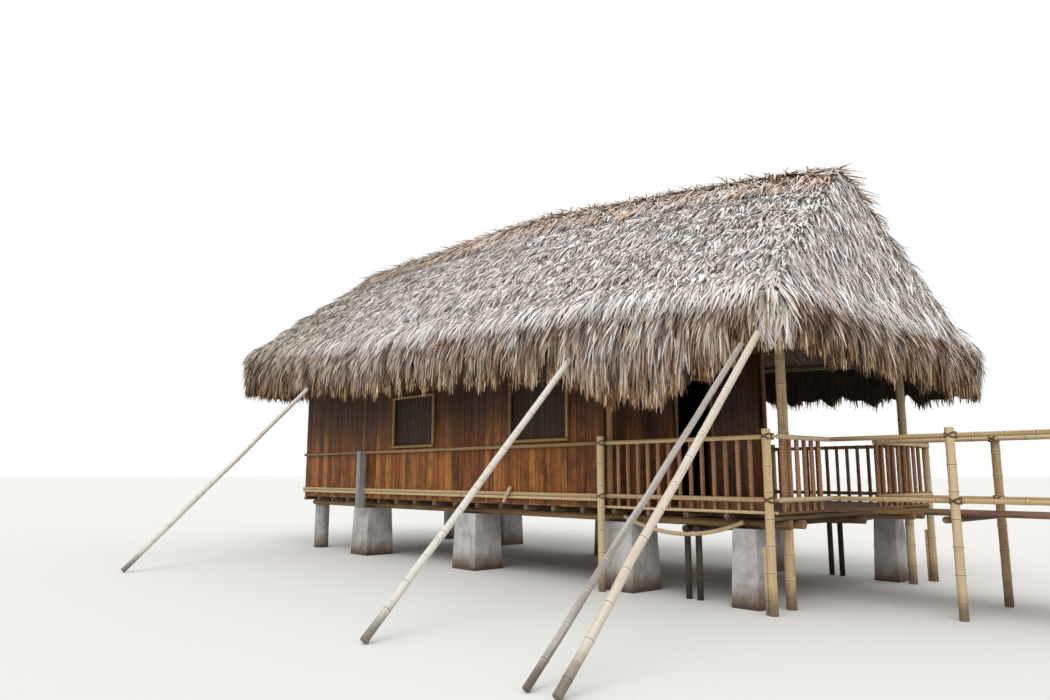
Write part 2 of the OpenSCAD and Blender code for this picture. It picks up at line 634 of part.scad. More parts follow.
module long_fringe(sags) {
    us = [for (j = [0:fringe_cols]) let (k = round(fall_start * fringe_cols))
        j == k ? fall_start : j / fringe_cols];
    fringe_along([for (u = us) front_at(u, 0)],
        [for (u = us) u == 0 ? [-corner_out, -corner_out] : u == 1 ? [corner_out, -corner_out] : [0, -1]],
        [for (u = us) fringe_drop + (sags ? sag_at(u) : 0)],
        [for (j = [0:fringe_cols]) j == 0 || j == fringe_cols ? 0 : tip_at(j)],
        [for (u = us) swell_at(u)]);
}
module end_fringe(e) {
    vs = [for (j = [0:end_fringe_cols]) j / end_fringe_cols];
    way = e == 0 ? -1 : 1;
    drop_end = fringe_drop + (e == 1 ? sag_at(1) : sag_at(0));
    order = e == 0 ? [for (j = [end_fringe_cols:-1:0]) j] : [for (j = [0:end_fringe_cols]) j];
    fringe_along([for (j = order) end_at(e, vs[j], 0)],
        [for (j = order) let (v = vs[j]) v == 0 ? [way * corner_out, -corner_out]
            : v == 1 ? [way * corner_out, corner_out] : [way, 0]],
        [for (j = order) e == 1 ? mix(drop_end, fringe_drop, vs[j]) : fringe_drop],
        [for (j = order) j == 0 || j == end_fringe_cols ? 0 : tip_at(j)],
        [for (j = order) swell_at(e)]);
}
module fringe_front() in_frame() color("#8f7c62") long_fringe(true);
module fringe_back() in_frame() color("#8f7c62")
    translate([0, depth, 0]) mirror([0, 1, 0]) long_fringe(false);
module fringe_left() in_frame() color("#8f7c62") end_fringe(0);
module fringe_right() in_frame() color("#8f7c62") end_fringe(1);

// Ridge cap: bundles laid over the top course of both slopes
module ridge_cap() in_frame() color("#8a7354") {
    top = [for (i = [len(course_rows) - 3:len(course_rows) - 1]) course_rows[i]];
    low_front = [for (r = top) front_outer(r)];
    low_back = [for (i = [len(top) - 1:-1:0]) [for (p = low_front[i]) [p.x, depth - p.y, p.z]]];
    under = concat(low_front, low_back);
    lift = [0.35, 0.8, 1, 1, 0.8, 0.35];
    between([for (i = [0:len(under) - 1]) [for (j = [0:len(under[i]) - 1])
        under[i][j] + [0, 0, cap_t * lift[i]]]], under);
}

// Props

// Front face of the fringe at a place along the front, set back towards the corner
function fringe_face(x) = let (
    x0 = front_at(1 - 1 / fringe_cols, 0).x, x1 = front_at(1, 0).x + corner_out * fringe_t)
    -eave_over - fringe_t * mix(1, corner_out, max(0, min(1, (x - x0) / (x1 - x0))));
// The top end's nearest edge bears on the face of the fringe
function prop_top_y(i) = let (
    face = fringe_face(prop_tops[i][0]),
    way = unit([prop_tops[i][0] - prop_feet[i], prop_reach + face, prop_tops[i][1]]))
    face - seat - prop_ds[i] / 2 * sqrt(1 - way.y * way.y);
prop_tops = [for (i = [0:3]) [house_l - prop_top_in[i], prop_top_h[i]]];
prop_feet = [for (i = [0:3]) house_l - prop_foot_in[i]];
// The lowest edge of the square foot stands on the water line's level
function prop_top(i) = [prop_tops[i][0], prop_top_y(i), prop_tops[i][1]];
function prop_foot(i) = let (way = unit(prop_top(i) - [prop_feet[i], -prop_reach, 0]))
    [prop_feet[i], -prop_reach + prop_ds[i] / 2 * norm([way.x, way.z]),
        prop_ds[i] / 2 * norm([way.x, way.y])];
module prop(i) pole(prop_foot(i), prop_top(i), prop_ds[i]);
module eave_props() in_frame() color("#b9ad94") for (i = [0:3]) prop(i);

// Walkway that leads off past the porch end

walk_post_xs = [for (i = [1:walk_bays]) house_l + i * walk_bay - rail_post_d / 2];
walk_sides = [walk_y, walk_y + walk_w];
module walkway_posts() in_frame() color("#c8aa6a")
    for (x = walk_post_xs) for (y = [walk_y - rail_d - seat - rail_post_d / 2,
            walk_y + walk_w + rail_d + seat + rail_post_d / 2])
        pole([x, y, 0], [x, y, rail_post_top], rail_post_d);
walk_x0 = house_l + rail_d + 2 * seat;
module walkway_bearers() in_frame() color("#a58a5c")
    for (x = walk_post_xs) translate([0, 0, deck_z - seat - joist_d / 2]) {
        reach = rail_d + seat + rail_post_d + seat;
        pole([x - rail_post_d / 2 - seat - joist_d / 2, walk_y - reach, 0],
            [x - rail_post_d / 2 - seat - joist_d / 2, walk_y + walk_w + reach, 0], joist_d);
    }
module walkway_deck() in_frame() color("#8d6b45")
    translate([walk_x0, walk_y, deck_z]) cube([walk_end - walk_x0, walk_w, deck_t]);
module walkway_rails() in_frame() color("#cdb072")
    for (z = [low_rail_z, hand_rail_z]) for (y = [walk_y - rail_d / 2, walk_y + walk_w + rail_d / 2])
        pole([walk_x0, y, z], [walk_end, y, z], rail_d);

front_piers();
back_piers();
stub_posts();
stub_logs();
floor_bearers();
floor_joists();
floor_deck();
edge_bamboos();
front_wall();
back_wall();
left_wall();
porch_wall_front();
porch_wall_back();
porch_wall_head();
door_frame();
window_frames();
window_shutters();
wall_posts();
grey_post();
low_wall_rails();
hand_wall_rails();
rail_posts();
porch_low_rails();
porch_hand_rails();
front_balusters();
end_balusters();
kick_board();
slack_bamboo();
porch_roof_posts();
wall_plates();
end_plates();
king_posts();
ridge_pole();
front_rafters();
back_rafters();
hip_rafters();
roof_battens();
thatch_front();
thatch_back();
thatch_left();
thatch_right();
fringe_front();
fringe_back();
fringe_left();
fringe_right();
ridge_cap();
eave_props();
walkway_posts();
walkway_bearers();
walkway_deck();
walkway_rails();
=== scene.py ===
"""Looks of a thatched stilt house: palm leaf roof, board walls, bamboo rails and props, block piers."""
import logging
import math
import random
from collections.abc import Callable, Iterable, Sequence
from dataclasses import dataclass
from enum import Enum
from typing import Any

import bmesh
import bpy
import numpy as np
from mathutils import Euler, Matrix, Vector
from mathutils.geometry import intersect_line_line


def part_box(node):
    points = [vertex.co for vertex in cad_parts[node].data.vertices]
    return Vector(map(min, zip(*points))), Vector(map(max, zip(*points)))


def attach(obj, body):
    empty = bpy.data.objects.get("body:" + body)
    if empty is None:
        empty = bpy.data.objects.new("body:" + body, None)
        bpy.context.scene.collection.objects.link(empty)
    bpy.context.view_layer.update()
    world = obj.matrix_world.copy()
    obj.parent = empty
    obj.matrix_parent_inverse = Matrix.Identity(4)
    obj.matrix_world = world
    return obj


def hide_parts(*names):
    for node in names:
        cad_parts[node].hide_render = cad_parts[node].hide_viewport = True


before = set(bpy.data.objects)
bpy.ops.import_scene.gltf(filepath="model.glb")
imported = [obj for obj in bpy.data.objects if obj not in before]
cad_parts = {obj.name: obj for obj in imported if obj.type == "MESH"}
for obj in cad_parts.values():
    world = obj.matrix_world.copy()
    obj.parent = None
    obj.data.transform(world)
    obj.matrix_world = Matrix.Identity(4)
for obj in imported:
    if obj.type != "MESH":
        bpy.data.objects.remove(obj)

LOG = logging.getLogger("stilt_house")
NODES: dict[str, bpy.types.Object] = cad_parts
BODY = "root"
MERGE_DISTANCE = 2e-5
UP = Vector((0, 0, 1))
DOWN = Vector((0, 0, -1))
Colour = tuple[float, float, float, float]
Triple = tuple[float, float, float]
Socket = bpy.types.NodeSocket


class Run(Enum):
    """Direction in which a pattern's fibres run, as the scale of the coordinates along X, Y and Z."""

    ALONG_X = (0.06, 1.0, 1.0)
    ALONG_Y = (1.0, 0.06, 1.0)
    ALONG_Z = (1.0, 1.0, 0.06)
    UP_FRONT = (1.0, 0.07, 0.07)
    UP_END = (0.07, 1.0, 0.07)


class Side(Enum):
    """Way that the outer face of a wall looks, along X and along Y."""

    FRONT = (0, -1)
    BACK = (0, 1)
    LEFT = (-1, 0)
    PORCH = (1, 0)

    @property
    def axis(self) -> int:
        """Axis that the wall runs along: 0 for X, 1 for Y."""
        return 0 if self.value[1] else 1


def linear(code: str) -> Colour:
    """Turns a hex colour into the linear values that a shader takes, by the sRGB curve.

    Args:
        code: Colour written as #rrggbb.

    Returns:
        Red, green, blue and an alpha of one.
    """
    parts = [int(code[i:i + 2], 16) / 255 for i in (1, 3, 5)]
    red, green, blue = [p / 12.92 if p <= 0.04045 else ((p + 0.055) / 1.055) ** 2.4 for p in parts]
    return (red, green, blue, 1.0)


class Wiring:
    """Adds nodes to one node tree and links their sockets."""

    def __init__(self, tree: bpy.types.NodeTree) -> None:
        """Keeps the tree that is wired."""
        self.tree = tree

    def feed(self, node: bpy.types.Node, key: str, value: Any) -> None:
        """Gives one input a value or a link.

        Args:
            node: Node that owns the input.
            key: Name of the input with underscores for spaces, or i and its number.
            value: Output socket to link, or the value to set.
        """
        socket = node.inputs[int(key[1:]) if key[0] == "i" and key[1:].isdigit() else key.replace("_", " ")]
        if isinstance(value, Socket):
            self.tree.links.new(value, socket)
        else:
            socket.default_value = value

    def add(self, kind: str, settings: dict[str, Any] | None = None, **inputs: Any) -> bpy.types.Node:
        """Adds one node.

        Args:
            kind: Blender's name of the node type.
            settings: Properties set on the node before its inputs.
            **inputs: Values or links, as feed() takes them.

        Returns:
            The new node.
        """
        node = self.tree.nodes.new(kind)
        for key, value in (settings or {}).items():
            setattr(node, key, value)
        for key, value in inputs.items():
            self.feed(node, key, value)
        return node

    def math(self, operation: str, first: Any, second: Any = 0.0, clamp: bool = False) -> Socket:
        """Adds a math node and returns its value."""
        node = self.add("ShaderNodeMath", {"operation": operation, "use_clamp": clamp}, i0=first, i1=second)
        return node.outputs[0]

    def plus(self, first: Any, second: Any) -> Socket:
        """Adds two values."""
        return self.math("ADD", first, second)

    def minus(self, first: Any, second: Any) -> Socket:
        """Takes the second value from the first."""
        return self.math("SUBTRACT", first, second)

    def times(self, first: Any, second: Any) -> Socket:
        """Multiplies two values."""
        return self.math("MULTIPLY", first, second)

    def over(self, first: Any, second: Any) -> Socket:
        """Divides the first value by the second."""
        return self.math("DIVIDE", first, second)

    def blend(self, first: Any, share: float, second: Any, rest: float) -> Socket:
        """Adds two values, each by its own share."""
        return self.plus(self.times(first, share), self.times(second, rest))

    def centred(self, value: Any, reach: Any) -> Socket:
        """Turns a value between zero and one into one to either side of zero."""
        return self.times(self.minus(value, 0.5), reach)

    def vector_math(self, operation: str, first: Any, second: Any) -> Socket:
        """Adds a vector math node and returns its vector."""
        return self.add("ShaderNodeVectorMath", {"operation": operation}, i0=first, i1=second).outputs[0]

    def stretch(self, vector: Any, scale: Any) -> Socket:
        """Scales a vector by its own number on each axis."""
        return self.vector_math("MULTIPLY", vector, scale)

    def combine(self, x: Any, y: Any, z: Any) -> Socket:
        """Adds a Combine XYZ node and returns its vector."""
        return self.add("ShaderNodeCombineXYZ", None, i0=x, i1=y, i2=z).outputs[0]

    def axis(self, vector: Any, index: int) -> Socket:
        """Takes one number out of a vector: 0 for X, 1 for Y, 2 for Z."""
        return self.add("ShaderNodeSeparateXYZ", None, i0=vector).outputs[index]

    def span(self, value: Any, low: Any, high: Any, to_low: Any = 0.0, to_high: Any = 1.0) -> Socket:
        """Adds a clamped Map Range node and returns its result."""
        node = self.add("ShaderNodeMapRange", None, i0=value, i1=low, i2=high, i3=to_low, i4=to_high)
        return node.outputs[0]

    def mix(self, factor: Any, first: Any, second: Any, blend: str = "MIX") -> Socket:
        """Adds a colour mix.

        Args:
            factor: Share of the second colour.
            first: First colour.
            second: Second colour.
            blend: Blender's name of the way to mix them.

        Returns:
            The colour socket.
        """
        node = self.add("ShaderNodeMix", {"data_type": "RGBA", "blend_type": blend})
        for key, value in (("i0", factor), ("i6", first), ("i7", second)):
            self.feed(node, key, value)
        return node.outputs[2]

    def filter(self, colour: Any, other: Any) -> Socket:
        """Multiplies two colours."""
        return self.mix(1.0, colour, other, "MULTIPLY")

    def tint(self, colour: Any, mask: Any, share: float, code: str) -> Socket:
        """Lays a hex colour over another by a share of a mask."""
        return self.mix(self.times(mask, share), colour, linear(code))

    def mix_value(self, factor: Any, first: Any, second: Any) -> Socket:
        """Adds a float mix and returns its value."""
        return self.add("ShaderNodeMix", {"data_type": "FLOAT"}, i0=factor, i2=first, i3=second).outputs[0]

    def noise(self, vector: Any, scale: Any, detail: float = 4.0, roughness: float = 0.55) -> Socket:
        """Adds a noise texture and returns its factor."""
        sizes = {"Scale": scale, "Detail": detail, "Roughness": roughness}
        return self.add("ShaderNodeTexNoise", None, Vector=vector, **sizes).outputs[0]

    def ramp(self, factor: Any, colours: Sequence[str],
             places: Sequence[float] | None = None) -> Socket:
        """Adds a colour ramp.

        Args:
            factor: Socket that picks the colour.
            colours: Hex colours from low to high.
            places: Their places, spread evenly where none are given.

        Returns:
            The colour socket.
        """
        node = self.add("ShaderNodeValToRGB", None, i0=factor)
        stops = node.color_ramp.elements
        places = places or [i / (len(colours) - 1) for i in range(len(colours))]
        while len(stops) < len(colours):
            stops.new(0.5)
        for stop, place, code in zip(stops, places, colours):
            stop.position = place
            stop.color = linear(code)
        return node.outputs[0]

    def from_ring(self, along: Any, spacing: Any) -> Socket:
        """Returns the distance along a culm to its nearest ring."""
        phase = self.math("FRACT", self.over(along, spacing))
        return self.times(self.math("ABSOLUTE", self.minus(phase, 0.5)), spacing)

    def attribute(self, name: str, output: str = "Fac") -> Socket:
        """Adds an Attribute node for a shader and returns one of its outputs."""
        return self.add("ShaderNodeAttribute", {"attribute_name": name}).outputs[output]

    def named(self, name: str, kind: str = "FLOAT") -> Socket:
        """Adds a Named Attribute node for geometry and returns its value."""
        return self.add("GeometryNodeInputNamedAttribute", {"data_type": kind}, Name=name).outputs[0]

    def position(self) -> Socket:
        """Returns the place of each point of the geometry."""
        return self.add("GeometryNodeInputPosition").outputs[0]

    def random(self, low: Any, high: Any, seed: Any) -> Socket:
        """Adds a random float between two values for geometry."""
        node = self.add("FunctionNodeRandomValue", {"data_type": "FLOAT"}, i2=low, i3=high, i8=seed)
        return node.outputs[1]

    def store(self, shape: Any, name: str, value: Any, domain: str, kind: str = "FLOAT") -> Socket:
        """Adds a Store Named Attribute node.

        Args:
            shape: Geometry to store on.
            name: Name of the attribute.
            value: Its value.
            domain: Blender's name of the domain.
            kind: Blender's name of the data type.

        Returns:
            The geometry with the attribute.
        """
        node = self.add("GeometryNodeStoreNamedAttribute", {"data_type": kind, "domain": domain})
        for key, given in (("i0", shape), ("i2", name), ("i3", value)):
            self.feed(node, key, given)
        return node.outputs[0]


# Shared shader effects

_GROUPS: dict[str, bpy.types.NodeTree] = {}


@dataclass(frozen=True)
class Effect:
    """A shader node group that several finishes share, built once.

    The inputs come with their default values, None for a vector, and the outputs are all floats.
    """

    name: str
    inputs: tuple[tuple[str, float | None], ...]
    outputs: tuple[str, ...]
    inside: Callable[[Wiring, dict[str, Any]], dict[str, Any]]

    def tree(self) -> bpy.types.NodeTree:
        """Builds the group, or finds it where it has been built.

        Returns:
            The node group.
        """
        if self.name in _GROUPS:
            return _GROUPS[self.name]
        tree = bpy.data.node_groups.new(self.name, "ShaderNodeTree")
        for key, value in self.inputs:
            kind = "NodeSocketVector" if value is None else "NodeSocketFloat"
            socket = tree.interface.new_socket(key, in_out="INPUT", socket_type=kind)
            if value is not None:
                socket.default_value = value
        for key in self.outputs:
            tree.interface.new_socket(key, in_out="OUTPUT", socket_type="NodeSocketFloat")
        wiring = Wiring(tree)
        entry = wiring.add("NodeGroupInput")
        leave = wiring.add("NodeGroupOutput")
        found = self.inside(wiring, {s.name: s for s in entry.outputs if s.name})
        for key in self.outputs:
            tree.links.new(found[key], leave.inputs[key])
        _GROUPS[self.name] = tree
        return tree

    def place(self, wiring: Wiring, **inputs: Any) -> bpy.types.Node:
        """Places the group in a material with its own values."""
        return wiring.add("ShaderNodeGroup", {"node_tree": self.tree()}, **inputs)


def wire_fibres(w: Wiring, ins: dict[str, Any]) -> dict[str, Any]:
    """Wires coarse and fine noise into a broad tone, fine lines and a height for bumps.

    Args:
        w: Wiring of the group.
        ins: The group's inputs by name.

    Returns:
        The sockets for its outputs by name.
    """
    broad = w.noise(ins["Vector"], ins["Coarse"], detail=3.0)
    fine = w.noise(ins["Vector"], ins["Fine"], detail=5.0, roughness=0.65)
    return {"Tone": w.span(broad, 0.3, 0.7), "Lines": w.span(fine, 0.36, 0.66),
            "Height": w.blend(broad, 0.4, fine, 0.6)}


def wire_damp(w: Wiring, ins: dict[str, Any]) -> dict[str, Any]:
    """Wires the damp and dirt at the foot of posts and piers: a ragged level that fades upwards.

    Args:
        w: Wiring of the group.
        ins: The group's inputs by name.

    Returns:
        The sockets for its outputs by name.
    """
    ragged = w.centred(w.noise(ins["Vector"], scale=5.0, detail=5.0, roughness=0.7), ins["Ragged"])
    level = w.plus(ins["Level"], ragged)
    return {"Mask": w.span(w.axis(ins["Vector"], 2), level, w.plus(level, ins["Soft"]), 1.0, 0.0)}


def wire_patches(w: Wiring, ins: dict[str, Any]) -> dict[str, Any]:
    """Wires patches of dirt or bleaching from two sizes of noise, with a chosen share.

    Args:
        w: Wiring of the group.
        ins: The group's inputs by name.

    Returns:
        The sockets for its outputs by name.
    """
    large = w.noise(ins["Vector"], ins["Scale"], detail=4.0, roughness=0.6)
    small = w.noise(ins["Vector"], w.times(ins["Scale"], 5.3), detail=5.0, roughness=0.65)
    edge = w.minus(0.72, w.times(ins["Share"], 0.42))
    return {"Mask": w.span(w.blend(large, 0.65, small, 0.35), edge, w.plus(edge, 0.12))}


def wire_rings(w: Wiring, ins: dict[str, Any]) -> dict[str, Any]:
    """Wires the dark ring at each joint of a bamboo culm and the chalky band to either side of it.

    Args:
        w: Wiring of the group.
        ins: The group's inputs by name.

    Returns:
        The sockets for its outputs by name.
    """
    away = w.from_ring(ins["Along"], ins["Spacing"])
    dark = w.span(away, w.times(ins["Width"], 0.4), ins["Width"], 1.0, 0.0)
    chalk = w.span(away, ins["Width"], w.times(ins["Width"], 3.0), 1.0, 0.0)
    return {"Ring": dark, "Chalk": w.math("SUBTRACT", chalk, dark, True)}


FIBRES = Effect("fibres", (("Vector", None), ("Coarse", 6.0), ("Fine", 60.0)), ("Tone", "Lines", "Height"),
                wire_fibres)
DAMP_FOOT = Effect("damp_foot", (("Vector", None), ("Level", 0.1), ("Soft", 0.25), ("Ragged", 0.5)),
                   ("Mask",), wire_damp)
PATCHES = Effect("patches", (("Vector", None), ("Scale", 2.0), ("Share", 0.5)), ("Mask",), wire_patches)
CULM_RINGS = Effect("culm_rings", (("Along", 0.0), ("Spacing", 0.3), ("Width", 0.008)), ("Ring", "Chalk"),
                    wire_rings)


# Finishes

_MATERIALS: dict[str, bpy.types.Material] = {}


@dataclass(frozen=True)
class Finish:
    """A material of the house and the record's slot that it belongs to."""

    name: str
    slot: str
    roughness: float = 0.8

    def wire(self, w: Wiring) -> dict[str, Any]:
        """Wires the pattern and returns the shader's inputs by name."""
        raise NotImplementedError

    def material(self) -> bpy.types.Material:
        """Builds the material, or finds it where it has been built.

        Returns:
            The finished material.
        """
        if self.name in _MATERIALS:
            return _MATERIALS[self.name]
        made = bpy.data.materials.new(self.name + "_finish")
        _MATERIALS[self.name] = made
        made.use_nodes = True
        made.node_tree.nodes.clear()
        w = Wiring(made.node_tree)
        shader = w.add("ShaderNodeBsdfPrincipled", None, Roughness=self.roughness, Specular_IOR_Level=0.3)
        w.feed(w.add("ShaderNodeOutputMaterial"), "i0", shader.outputs[0])
        for key, value in self.wire(w).items():
            w.feed(shader, key, value)
        return made

    def bump(self, w: Wiring, height: Any, strength: float, distance: float) -> Socket:
        """Adds a bump node and returns its normal."""
        return w.add("ShaderNodeBump", None, Strength=strength, Distance=distance, Height=height).outputs[0]

    def place(self, w: Wiring) -> Socket:
        """Returns the object's own coordinates, in metres."""
        return w.add("ShaderNodeTexCoord").outputs["Object"]


@dataclass(frozen=True)
class LeafFinish(Finish):
    """Dry palm leaf in strips, each with a tone of its own, darker at the root."""

    tones: tuple[str, ...] = ()
    low_tones: tuple[str, ...] = ("#7c6852", "#b39c7f", "#dccab0", "#a57b50", "#8a745d", "#e6d8c2", "#94805f")
    low_waver: float = 0.8
    tip_low: float = 0.0
    region: tuple[str, ...] = ("#b39a82", "#ece4dc", "#ffffff", "#ffffff", "#c9a988")
    region_places: tuple[float, ...] | None = None
    region_share: float = 0.3
    streak: str = "#a3937f"
    streak_share: float = 0.25
    shaded: str = "#5c5046"
    shade_share: float = 0.72
    shade_length: float = 0.4
    # Colour multiplied in to darken the strips towards the roof's left end, along X between two places.
    darkening: str = "#d8d2c4"
    darkest_at: float = -8.5
    fades_out_at: float = -2.5

    def wire(self, w: Wiring) -> dict[str, Any]:
        """Wires the strip's tone, its painted root shade, broad regions of weathering, which on the hanging
        fringe also paint shade into the gaps between bunches, and a darkening towards the roof's left end.

        Args:
            w: Wiring of the material.

        Returns:
            The shader's inputs by name.
        """
        place = self.place(w)
        tone, along = w.attribute("tone"), w.attribute("along")
        strip = w.ramp(tone, self.tones)
        # On the hanging fringe this ramp runs near black at its low end: painted shade in the thin spots
        # between bunches.
        region = w.ramp(w.span(w.attribute("bunch"), 0.3, 0.7), self.region, self.region_places)
        colour = w.mix(self.region_share, strip, w.filter(strip, region))
        broad = w.noise(place, scale=0.9, detail=4.0, roughness=0.6)
        low = w.plus(w.attribute("low"), w.centred(broad, self.low_waver))
        low = w.plus(low, w.times(along, self.tip_low))
        colour = w.mix(w.span(low, 0.3, 1.0), colour, w.filter(w.ramp(tone, self.low_tones), region))
        streak = w.noise(w.stretch(place, (1.0, 0.4, 0.4)), scale=55.0, detail=3.0, roughness=0.6)
        colour = w.mix(w.span(streak, 0.45, 0.7, 0.0, self.streak_share), colour,
                       w.filter(colour, linear(self.streak)))
        root = w.times(w.span(along, 0.0, self.shade_length, self.shade_share, 0.0), w.attribute("root"))
        colour = w.mix(root, colour, linear(self.shaded))
        # The strips grow darker towards the roof's left end.
        left_end_mask = w.span(w.axis(place, 0), self.darkest_at, self.fades_out_at, 1.0, 0.0)
        return {"Base_Color": w.mix(left_end_mask, colour, w.filter(colour, linear(self.darkening)))}


@dataclass(frozen=True)
class PackedLeafFinish(Finish):
    """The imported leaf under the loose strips, with fibres that run down the slope."""

    run: Run = Run.UP_FRONT
    tones: tuple[str, ...] = ("#3a322b", "#7b7166", "#b0a698")
    patch: str = "#4b3a2a"
    patch_share: float = 0.4

    def wire(self, w: Wiring) -> dict[str, Any]:
        """Wires stretched fibres, patches and a strong bump.

        Args:
            w: Wiring of the material.

        Returns:
            The shader's inputs by name.
        """
        place = self.place(w)
        fibres = FIBRES.place(w, Vector=w.stretch(place, self.run.value), Coarse=16.0, Fine=55.0).outputs
        patches = PATCHES.place(w, Vector=place, Scale=1.3, Share=0.5).outputs[0]
        colour = w.ramp(w.blend(fibres["Lines"], 0.7, fibres["Tone"], 0.3), self.tones)
        return {"Base_Color": w.tint(colour, patches, self.patch_share, self.patch),
                "Normal": self.bump(w, fibres["Height"], strength=0.9, distance=0.03)}


@dataclass(frozen=True)
class BoardFinish(Finish):
    """Sawn boards, each with a tone of its own, grain along it, streaks and dark patches, with painted shade
    towards the top where the eaves shade them.
    """

    run: Run = Run.ALONG_Z
    tones: tuple[str, ...] = ()
    stain_and_shade: str = "#3b2114"
    stain_share: float = 0.4
    bleach: str = "#c49a6a"
    shift: Triple = (31.0, 17.0, 23.0)
    eave_shade: float = 0.0
    eave_shade_from: float = 1.85
    eave_shade_to: float = 2.75

    def wire(self, w: Wiring) -> dict[str, Any]:
        """Wires the board's tone, its grain, stains that run along it, painted shade under the eaves and a
        bump.

        Args:
            w: Wiring of the material.

        Returns:
            The shader's inputs by name.
        """
        place, tone = self.place(w), w.attribute("tone")
        shifted = w.vector_math("ADD", place, w.combine(*[w.times(tone, step) for step in self.shift]))
        stretched = w.stretch(shifted, self.run.value)
        fibres = FIBRES.place(w, Vector=stretched, Coarse=14.0, Fine=110.0).outputs
        patches = PATCHES.place(w, Vector=shifted, Scale=1.6, Share=self.stain_share).outputs[0]
        elsewhere = w.vector_math("ADD", stretched, (4.0, 9.0, 2.0))
        bleached = PATCHES.place(w, Vector=elsewhere, Scale=5.0, Share=0.35).outputs[0]
        colour = w.ramp(w.blend(tone, 0.75, fibres["Tone"], 0.25), self.tones)
        for mask, share, code in ((fibres["Lines"], 0.28, self.stain_and_shade), (patches, 0.55, self.stain_and_shade),
                                  (bleached, 0.4, self.bleach)):
            colour = w.tint(colour, mask, share, code)
        # Painted shade under the eaves: the boards darken towards their top with the stain colour.
        if self.eave_shade:
            high = w.span(w.axis(place, 2), self.eave_shade_from, self.eave_shade_to, 0.0, self.eave_shade)
            colour = w.mix(high, colour, linear(self.stain_and_shade))
        rough = w.span(fibres["Lines"], 0.0, 1.0, self.roughness - 0.12, self.roughness + 0.06)
        return {"Base_Color": colour, "Roughness": rough,
                "Normal": self.bump(w, fibres["Height"], strength=0.45, distance=0.004)}


@dataclass(frozen=True)
class CulmFinish(Finish):
    """Bamboo culms with dark rings at their joints and fine lines along them."""

    tones: tuple[str, ...] = ()
    ring: str = "#4a3320"
    ring_width: float = 0.009
    chalk: str = "#d9cdb0"
    grime: str = "#6b5135"
    grime_share: float = 0.4
    spacing: float = 0.3
    darkening: float = 0.0
    foot: str = "#4a3b2a"

    def wire(self, w: Wiring) -> dict[str, Any]:
        """Wires the culm's tone, rings, lengthwise lines, grime and a damp foot.

        Args:
            w: Wiring of the material.

        Returns:
            The shader's inputs by name.
        """
        place, tone, along = self.place(w), w.attribute("tone"), w.attribute("along")
        side = w.stretch(w.attribute("side", "Vector"), (1.0, 1.0, 0.0))
        around = w.vector_math("ADD", side, w.combine(w.times(tone, 19.0), 0.0, w.times(along, 0.35)))
        fibres = FIBRES.place(w, Vector=around, Coarse=3.0, Fine=26.0).outputs
        rings = CULM_RINGS.place(w, Along=along, Spacing=self.spacing, Width=self.ring_width).outputs
        patches = PATCHES.place(w, Vector=place, Scale=3.5, Share=self.grime_share).outputs[0]
        colour = w.ramp(w.blend(tone, 0.65, fibres["Tone"], 0.35), self.tones)
        for mask, share, code in ((fibres["Lines"], 0.3, self.grime), (patches, 0.5, self.grime),
                                  (rings["Chalk"], 0.35, self.chalk), (rings["Ring"], 0.6, self.ring)):
            colour = w.tint(colour, mask, share, code)
        if self.darkening > 0:
            foot = DAMP_FOOT.place(w, Vector=place, Level=self.darkening, Soft=0.25, Ragged=0.25).outputs[0]
            colour = w.tint(colour, foot, 0.75, self.foot)
        return {"Base_Color": colour, "Normal": self.bump(w, fibres["Height"], strength=0.3, distance=0.003)}


@dataclass(frozen=True)
class BlockFinish(Finish):
    """Pale rendered block, with pores, streaks and a brown tide mark at its foot."""

    tones: tuple[str, ...] = ("#94908d", "#bab7b5", "#d0cdcb")
    run_off: str = "#77736a"
    pore: str = "#6d6a63"
    dirt: str = "#8a7657"
    tide: str = "#6e5238"
    wet: str = "#37291c"
    wet_roughness: float = 0.45

    def wire(self, w: Wiring) -> dict[str, Any]:
        """Wires mottling, run-off streaks, pores, dirt, the tide mark, the wet foot and a bump.

        Args:
            w: Wiring of the material.

        Returns:
            The shader's inputs by name.
        """
        place = self.place(w)
        mottle = w.noise(place, scale=3.0, detail=6.0, roughness=0.65)
        pores = w.noise(place, scale=70.0, detail=3.0, roughness=0.7)
        streaks = w.noise(w.stretch(place, (1.0, 1.0, 0.12)), scale=9.0, detail=4.0, roughness=0.6)
        colour = w.ramp(w.span(mottle, 0.3, 0.72), self.tones)
        colour = w.mix(w.span(streaks, 0.52, 0.72, 0.0, 0.5), colour, linear(self.run_off))
        colour = w.mix(w.span(pores, 0.6, 0.75, 0.0, 0.5), colour, linear(self.pore))
        patches = PATCHES.place(w, Vector=place, Scale=2.2, Share=0.3).outputs[0]
        tide = DAMP_FOOT.place(w, Vector=place, Level=0.12, Soft=0.22, Ragged=0.35).outputs[0]
        wet = DAMP_FOOT.place(w, Vector=place, Level=0.03, Soft=0.08, Ragged=0.15).outputs[0]
        for mask, share, code in ((patches, 0.35, self.dirt), (tide, 0.8, self.tide), (wet, 0.8, self.wet)):
            colour = w.tint(colour, mask, share, code)
        return {"Base_Color": colour, "Roughness": w.span(wet, 0.0, 1.0, self.roughness, self.wet_roughness),
                "Normal": self.bump(w, w.blend(mottle, 0.7, pores, 0.3), strength=0.5, distance=0.012)}


